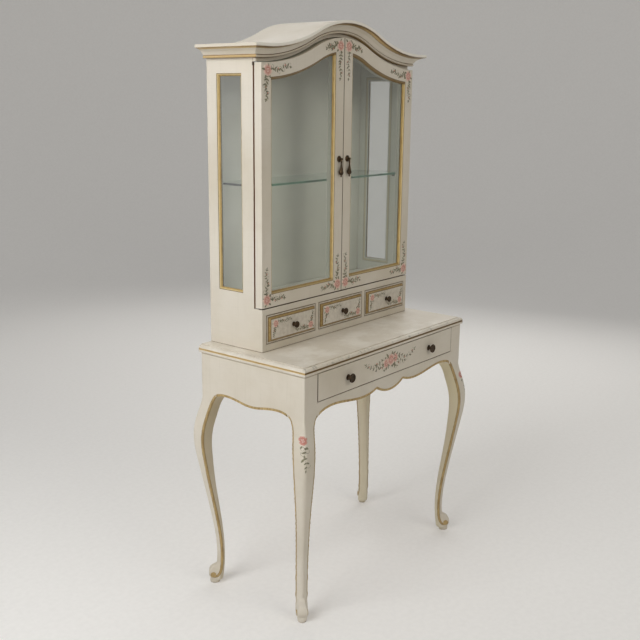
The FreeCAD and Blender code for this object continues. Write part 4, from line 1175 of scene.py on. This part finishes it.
# Vines of the long drawer's right half: their points, the length of their leaves and the number of buds
LONG_DRAWER_VINES = ((((18, 2), (42, 9), (66, 2), (90, -5), (116, 4), (128, 12)), 12.0, 2),
                     (((16, -4), (38, -11), (58, -9), (74, -14)), 11.0, 1),
                     (((10, -10), (20, -20), (34, -23)), 9.0, 0))
LONG_DRAWER_ROSES = ((-23, -3, 16), (22, 5, 16), (0, 4, 20))
KNEE_VINE = ((-4, -6), (3, -20), (-4, -36), (5, -52), (3, -70))


def paint_doors():
    """A rose in each corner of each door, with one vine along the stile and one along the rail."""
    for side, hand in (("left", -1), ("right", 1)):
        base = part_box(side + "_door_bottom_rail")[0].z / MM
        edge = CABINET_X / MM

        def holds(u, v):
            across = HALF_MEETING_GAP + EDGE_MARGIN < u * hand < edge - EDGE_MARGIN
            return across and base + EDGE_MARGIN < v < crest(u * MM, DOOR_CREST) / MM - EDGE_MARGIN

        work = Painting(upright(0, FRONT_FACE, 0), DOOR_SEEDS[side], holds)
        inner, outer = INNER_ROSE_INSET * hand, (edge - OUTER_ROSE_INSET) * hand
        low = base + LOW_ROSE_LIFT
        end_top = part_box(side + "_door_outer_stile")[1].z / MM - END_ROSE_DROP
        middle_top = crest(inner * MM, DOOR_CREST) / MM - MIDDLE_ROSE_DROP
        for x, toward in ((outer, -hand), (inner, hand)):
            rail_end = x + toward * RAIL_VINE, low - RAIL_VINE_DROP
            work.spray(wave((x, low + VINE_START), (x, low + STILE_VINE), DOOR_SWAY), DOOR_LEAF)
            work.spray(wave((x + toward * VINE_START, low), rail_end, DOOR_SWAY), DOOR_LEAF)
        work.spray(wave((outer, end_top - VINE_START), (outer, end_top - END_VINE), DOOR_SWAY), DOOR_LEAF)
        work.spray(wave((inner, middle_top - VINE_START), (inner, middle_top - MIDDLE_VINE), 3.5), 10.0)
        for x, toward, reach in ((outer, -hand, ARCH_VINE_OUTER), (inner, hand, ARCH_VINE_INNER)):
            path = []
            for step in range(ARCH_VINE_STEPS + 1):
                run = x + toward * (VINE_START + (reach - VINE_START) * step / ARCH_VINE_STEPS)
                swing = DOOR_SWAY * math.sin(step * 1.6)
                path.append((run, crest(run * MM, DOOR_CREST) / MM - ARCH_VINE_DROP + swing))
            work.spray(path, DOOR_LEAF)
        end_rose = outer - END_ROSE_SHIFT * hand, end_top
        for x, z in ((outer, low), (inner, low), end_rose, (inner, middle_top)):
            work.rose(x, z, DOOR_ROSE, x)
        work.build(side + "_door_roses", side + "_door")


def paint_small_drawers():
    """Two roses in opposite corners of each field, each with a vine along both of its sides."""
    for side, seed in DRAWER_SEEDS.items():
        low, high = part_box(side + "_drawer_front")
        middle = (low + high) / 2
        half_u, half_v = ((high[axis] - low[axis]) / 2 / MM - FIELD_INSET / MM for axis in (0, 2))

        def holds(u, v):
            return abs(u) < half_u - EDGE_MARGIN and abs(v) < half_v - EDGE_MARGIN

        work = Painting(upright(middle.x, FIELD_FACE, middle.z), seed, holds)
        for hand in (-1, 1):
            u, v = hand * (half_u - 18), -hand * (half_v - 13.5)
            work.spray(wave((u - hand * 8, v - hand * 4), (u - hand * 66, v - hand * 3), 3.0), 8.5, 1)
            work.spray(wave((u + hand * 4, v + hand * 8), (u + hand * 8, v + hand * 38), 2.5, 2), 8.0, 1)
            work.rose(u, v, DRAWER_ROSE, hand)
        work.build(side + "_drawer_roses", side + "_drawer")


def paint_long_drawer():
    """Three roses in the middle, with curling sprays to each side."""
    low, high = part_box("desk_drawer_front")
    work = Painting(upright(0, DRAWER_FACE, (low.z + high.z) / 2 + LONG_DRAWER_LIFT), LONG_DRAWER_SEED)
    for hand in (-1, 1):
        for path, leaf_length, buds in LONG_DRAWER_VINES:
            work.spray([(hand * u, v) for u, v in path], leaf_length, buds)
        work.leaf(hand * 12, 14, math.pi / 2 - hand * 0.8, 17)
        work.leaf(hand * 16, -12, -math.pi / 2 + hand * 0.9, 16)
    for u, v, radius in LONG_DRAWER_ROSES:
        work.rose(u, v, radius, u)
    work.build("desk_drawer_roses", "desk_drawer")


def paint_knees():
    """A rose with a hanging vine on the knee of each front leg."""
    for side, out_x in (("left", -1), ("right", 1)):
        tree = carved["leg_front_" + side]
        out = Vector((out_x, -1, 0)).normalized()
        across = Vector((-out.y, out.x, 0))
        corner = Vector((APRON_X * out_x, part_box("front_apron")[0].y, KNEE_ROSE_HEIGHT))

        def place(u, v, height):
            start = corner + out * CLEAR * 2 + across * u * MM + UP * v * MM
            return tree.ray_cast(start, -out)[0] + out * height * MM

        work = Painting(place, KNEE_SEEDS[side])
        work.spray(KNEE_VINE, 12.5, 0)
        work.leaf(-6, -6, 4.0, 10)
        work.leaf(4, -8, 5.4, 10)
        work.rose(-4, 8, KNEE_ROSE, 0.4, 0, 1)
        work.build("knee_rose_" + side, CASE)


paint_doors()
paint_small_drawers()
paint_long_drawer()
paint_knees()


# Studio: pale bowl of a floor, soft light that is strongest from the left, and the camera

FLOOR_CENTRE, FLOOR_RADIUS = 0.01, 4.2
BOWL_RADIUS = 2.6
WALL_TOP = 5.2
BOWL_STEPS = 12
BOWL_SIDES = 96
PAPER_GLOW = 0.14
LAMP_TARGET = 0.9
DAYLIGHT, SOFT_WHITE, WARM = (0.97, 0.985, 1.0), (1.0, 0.985, 0.96), (1.0, 0.975, 0.915)
WORLD_COLOUR, WORLD_STRENGTH = (1.0, 0.985, 0.965, 1.0), 0.18
# Camera, fitted to the photograph's frame
PHOTO_WIDTH = 640
FOCAL_PIXELS = 926.6
SENSOR_WIDTH = 36.0
CAMERA_PLACE = (-2.2280, -1.7071, 1.4613)
CAMERA_YAW, CAMERA_PITCH, CAMERA_ROLL = math.radians(51.3), math.radians(13.41), math.radians(0.6)


def studio():
    outline = [(FLOOR_CENTRE, 0.0), (FLOOR_RADIUS, 0.0)]
    for step in range(1, BOWL_STEPS + 1):
        turn = math.pi / 2 * step / BOWL_STEPS
        outline.append((FLOOR_RADIUS + BOWL_RADIUS * math.sin(turn), BOWL_RADIUS * (1 - math.cos(turn))))
    outline.append((FLOOR_RADIUS + BOWL_RADIUS, WALL_TOP))
    rings = [[(radius * math.sin(turn), radius * math.cos(turn), height) for turn in round_turn(BOWL_SIDES)]
             for radius, height in outline]
    points, faces = sweep(rings, last_cap=False)
    mesh = bpy.data.meshes.new("studio_floor")
    mesh.from_pydata(points, [], faces)
    mesh.polygons.foreach_set("use_smooth", [True] * len(mesh.polygons))
    graph = Graph("studio_paper")
    grain = graph.noise(60.0)
    graph.set("Base Color", graph.mix(grain.ease(0.3, 0.7), tone(236, 234, 230), tone(232, 230, 226)))
    graph.set("Roughness", 0.9)
    light_path = graph.node("ShaderNodeLightPath")
    seen = graph.out(light_path, "Is Camera Ray")
    for ray in ("Is Glossy Ray", "Is Transmission Ray"):
        seen = graph.math("MAXIMUM", seen, graph.out(light_path, ray))
    graph.set("Emission Color", tone(246, 245, 246))
    graph.set("Emission Strength", seen * PAPER_GLOW)
    mesh.materials.append(graph.material)
    put("studio_floor", mesh)


def lamp(name, place, target_height, size, power, colour):
    light = bpy.data.lights.new(name, "AREA")
    light.shape = "DISK"
    light.size = size
    light.energy = power
    light.color = colour
    piece = put(name, light)
    piece.location = place
    piece.visible_transmission = False
    piece.rotation_euler = (UP * target_height - Vector(place)).to_track_quat("-Z", "Y").to_euler()


def camera():
    yaw, pitch, roll = CAMERA_YAW, CAMERA_PITCH, CAMERA_ROLL
    right = Vector((math.cos(yaw), -math.sin(yaw), 0))
    forward = Vector((math.sin(yaw) * math.cos(pitch), math.cos(yaw) * math.cos(pitch), -math.sin(pitch)))
    up = right.cross(forward)
    turned_right = right * math.cos(roll) + up * math.sin(roll)
    turned_up = up * math.cos(roll) - right * math.sin(roll)
    data = bpy.data.cameras.new("camera")
    data.sensor_width = SENSOR_WIDTH
    data.sensor_fit = "HORIZONTAL"
    data.lens = SENSOR_WIDTH * FOCAL_PIXELS / PHOTO_WIDTH
    matrix = Matrix((turned_right, turned_up, -forward)).transposed().to_4x4()
    matrix.translation = CAMERA_PLACE
    piece = put("camera", data)
    piece.matrix_world = matrix
    bpy.context.scene.camera = piece


studio()
lamp("key", (-2.75, 0.1, 2.3), 1.0, 2.0, 54.0, DAYLIGHT)
lamp("top", (-0.2, 0.2, 3.6), 1.2, 1.6, 8.0, SOFT_WHITE)
lamp("fill", (-0.3, -3.7, 3.2), LAMP_TARGET, 2.8, 35.0, WARM)
lamp("back", (2.2, 2.9, 2.4), LAMP_TARGET, 2.4, 17.0, SOFT_WHITE)
lamp("right", (3.1, 0.8, 2.1), LAMP_TARGET, 2.2, 20.0, SOFT_WHITE)
camera()

world = bpy.data.worlds.new("studio_world")
world.use_nodes = True
background = world.node_tree.nodes["Background"]
background.inputs["Color"].default_value = WORLD_COLOUR
background.inputs["Strength"].default_value = WORLD_STRENGTH
bpy.context.scene.world = world
bpy.context.scene.view_settings.view_transform = "Standard"
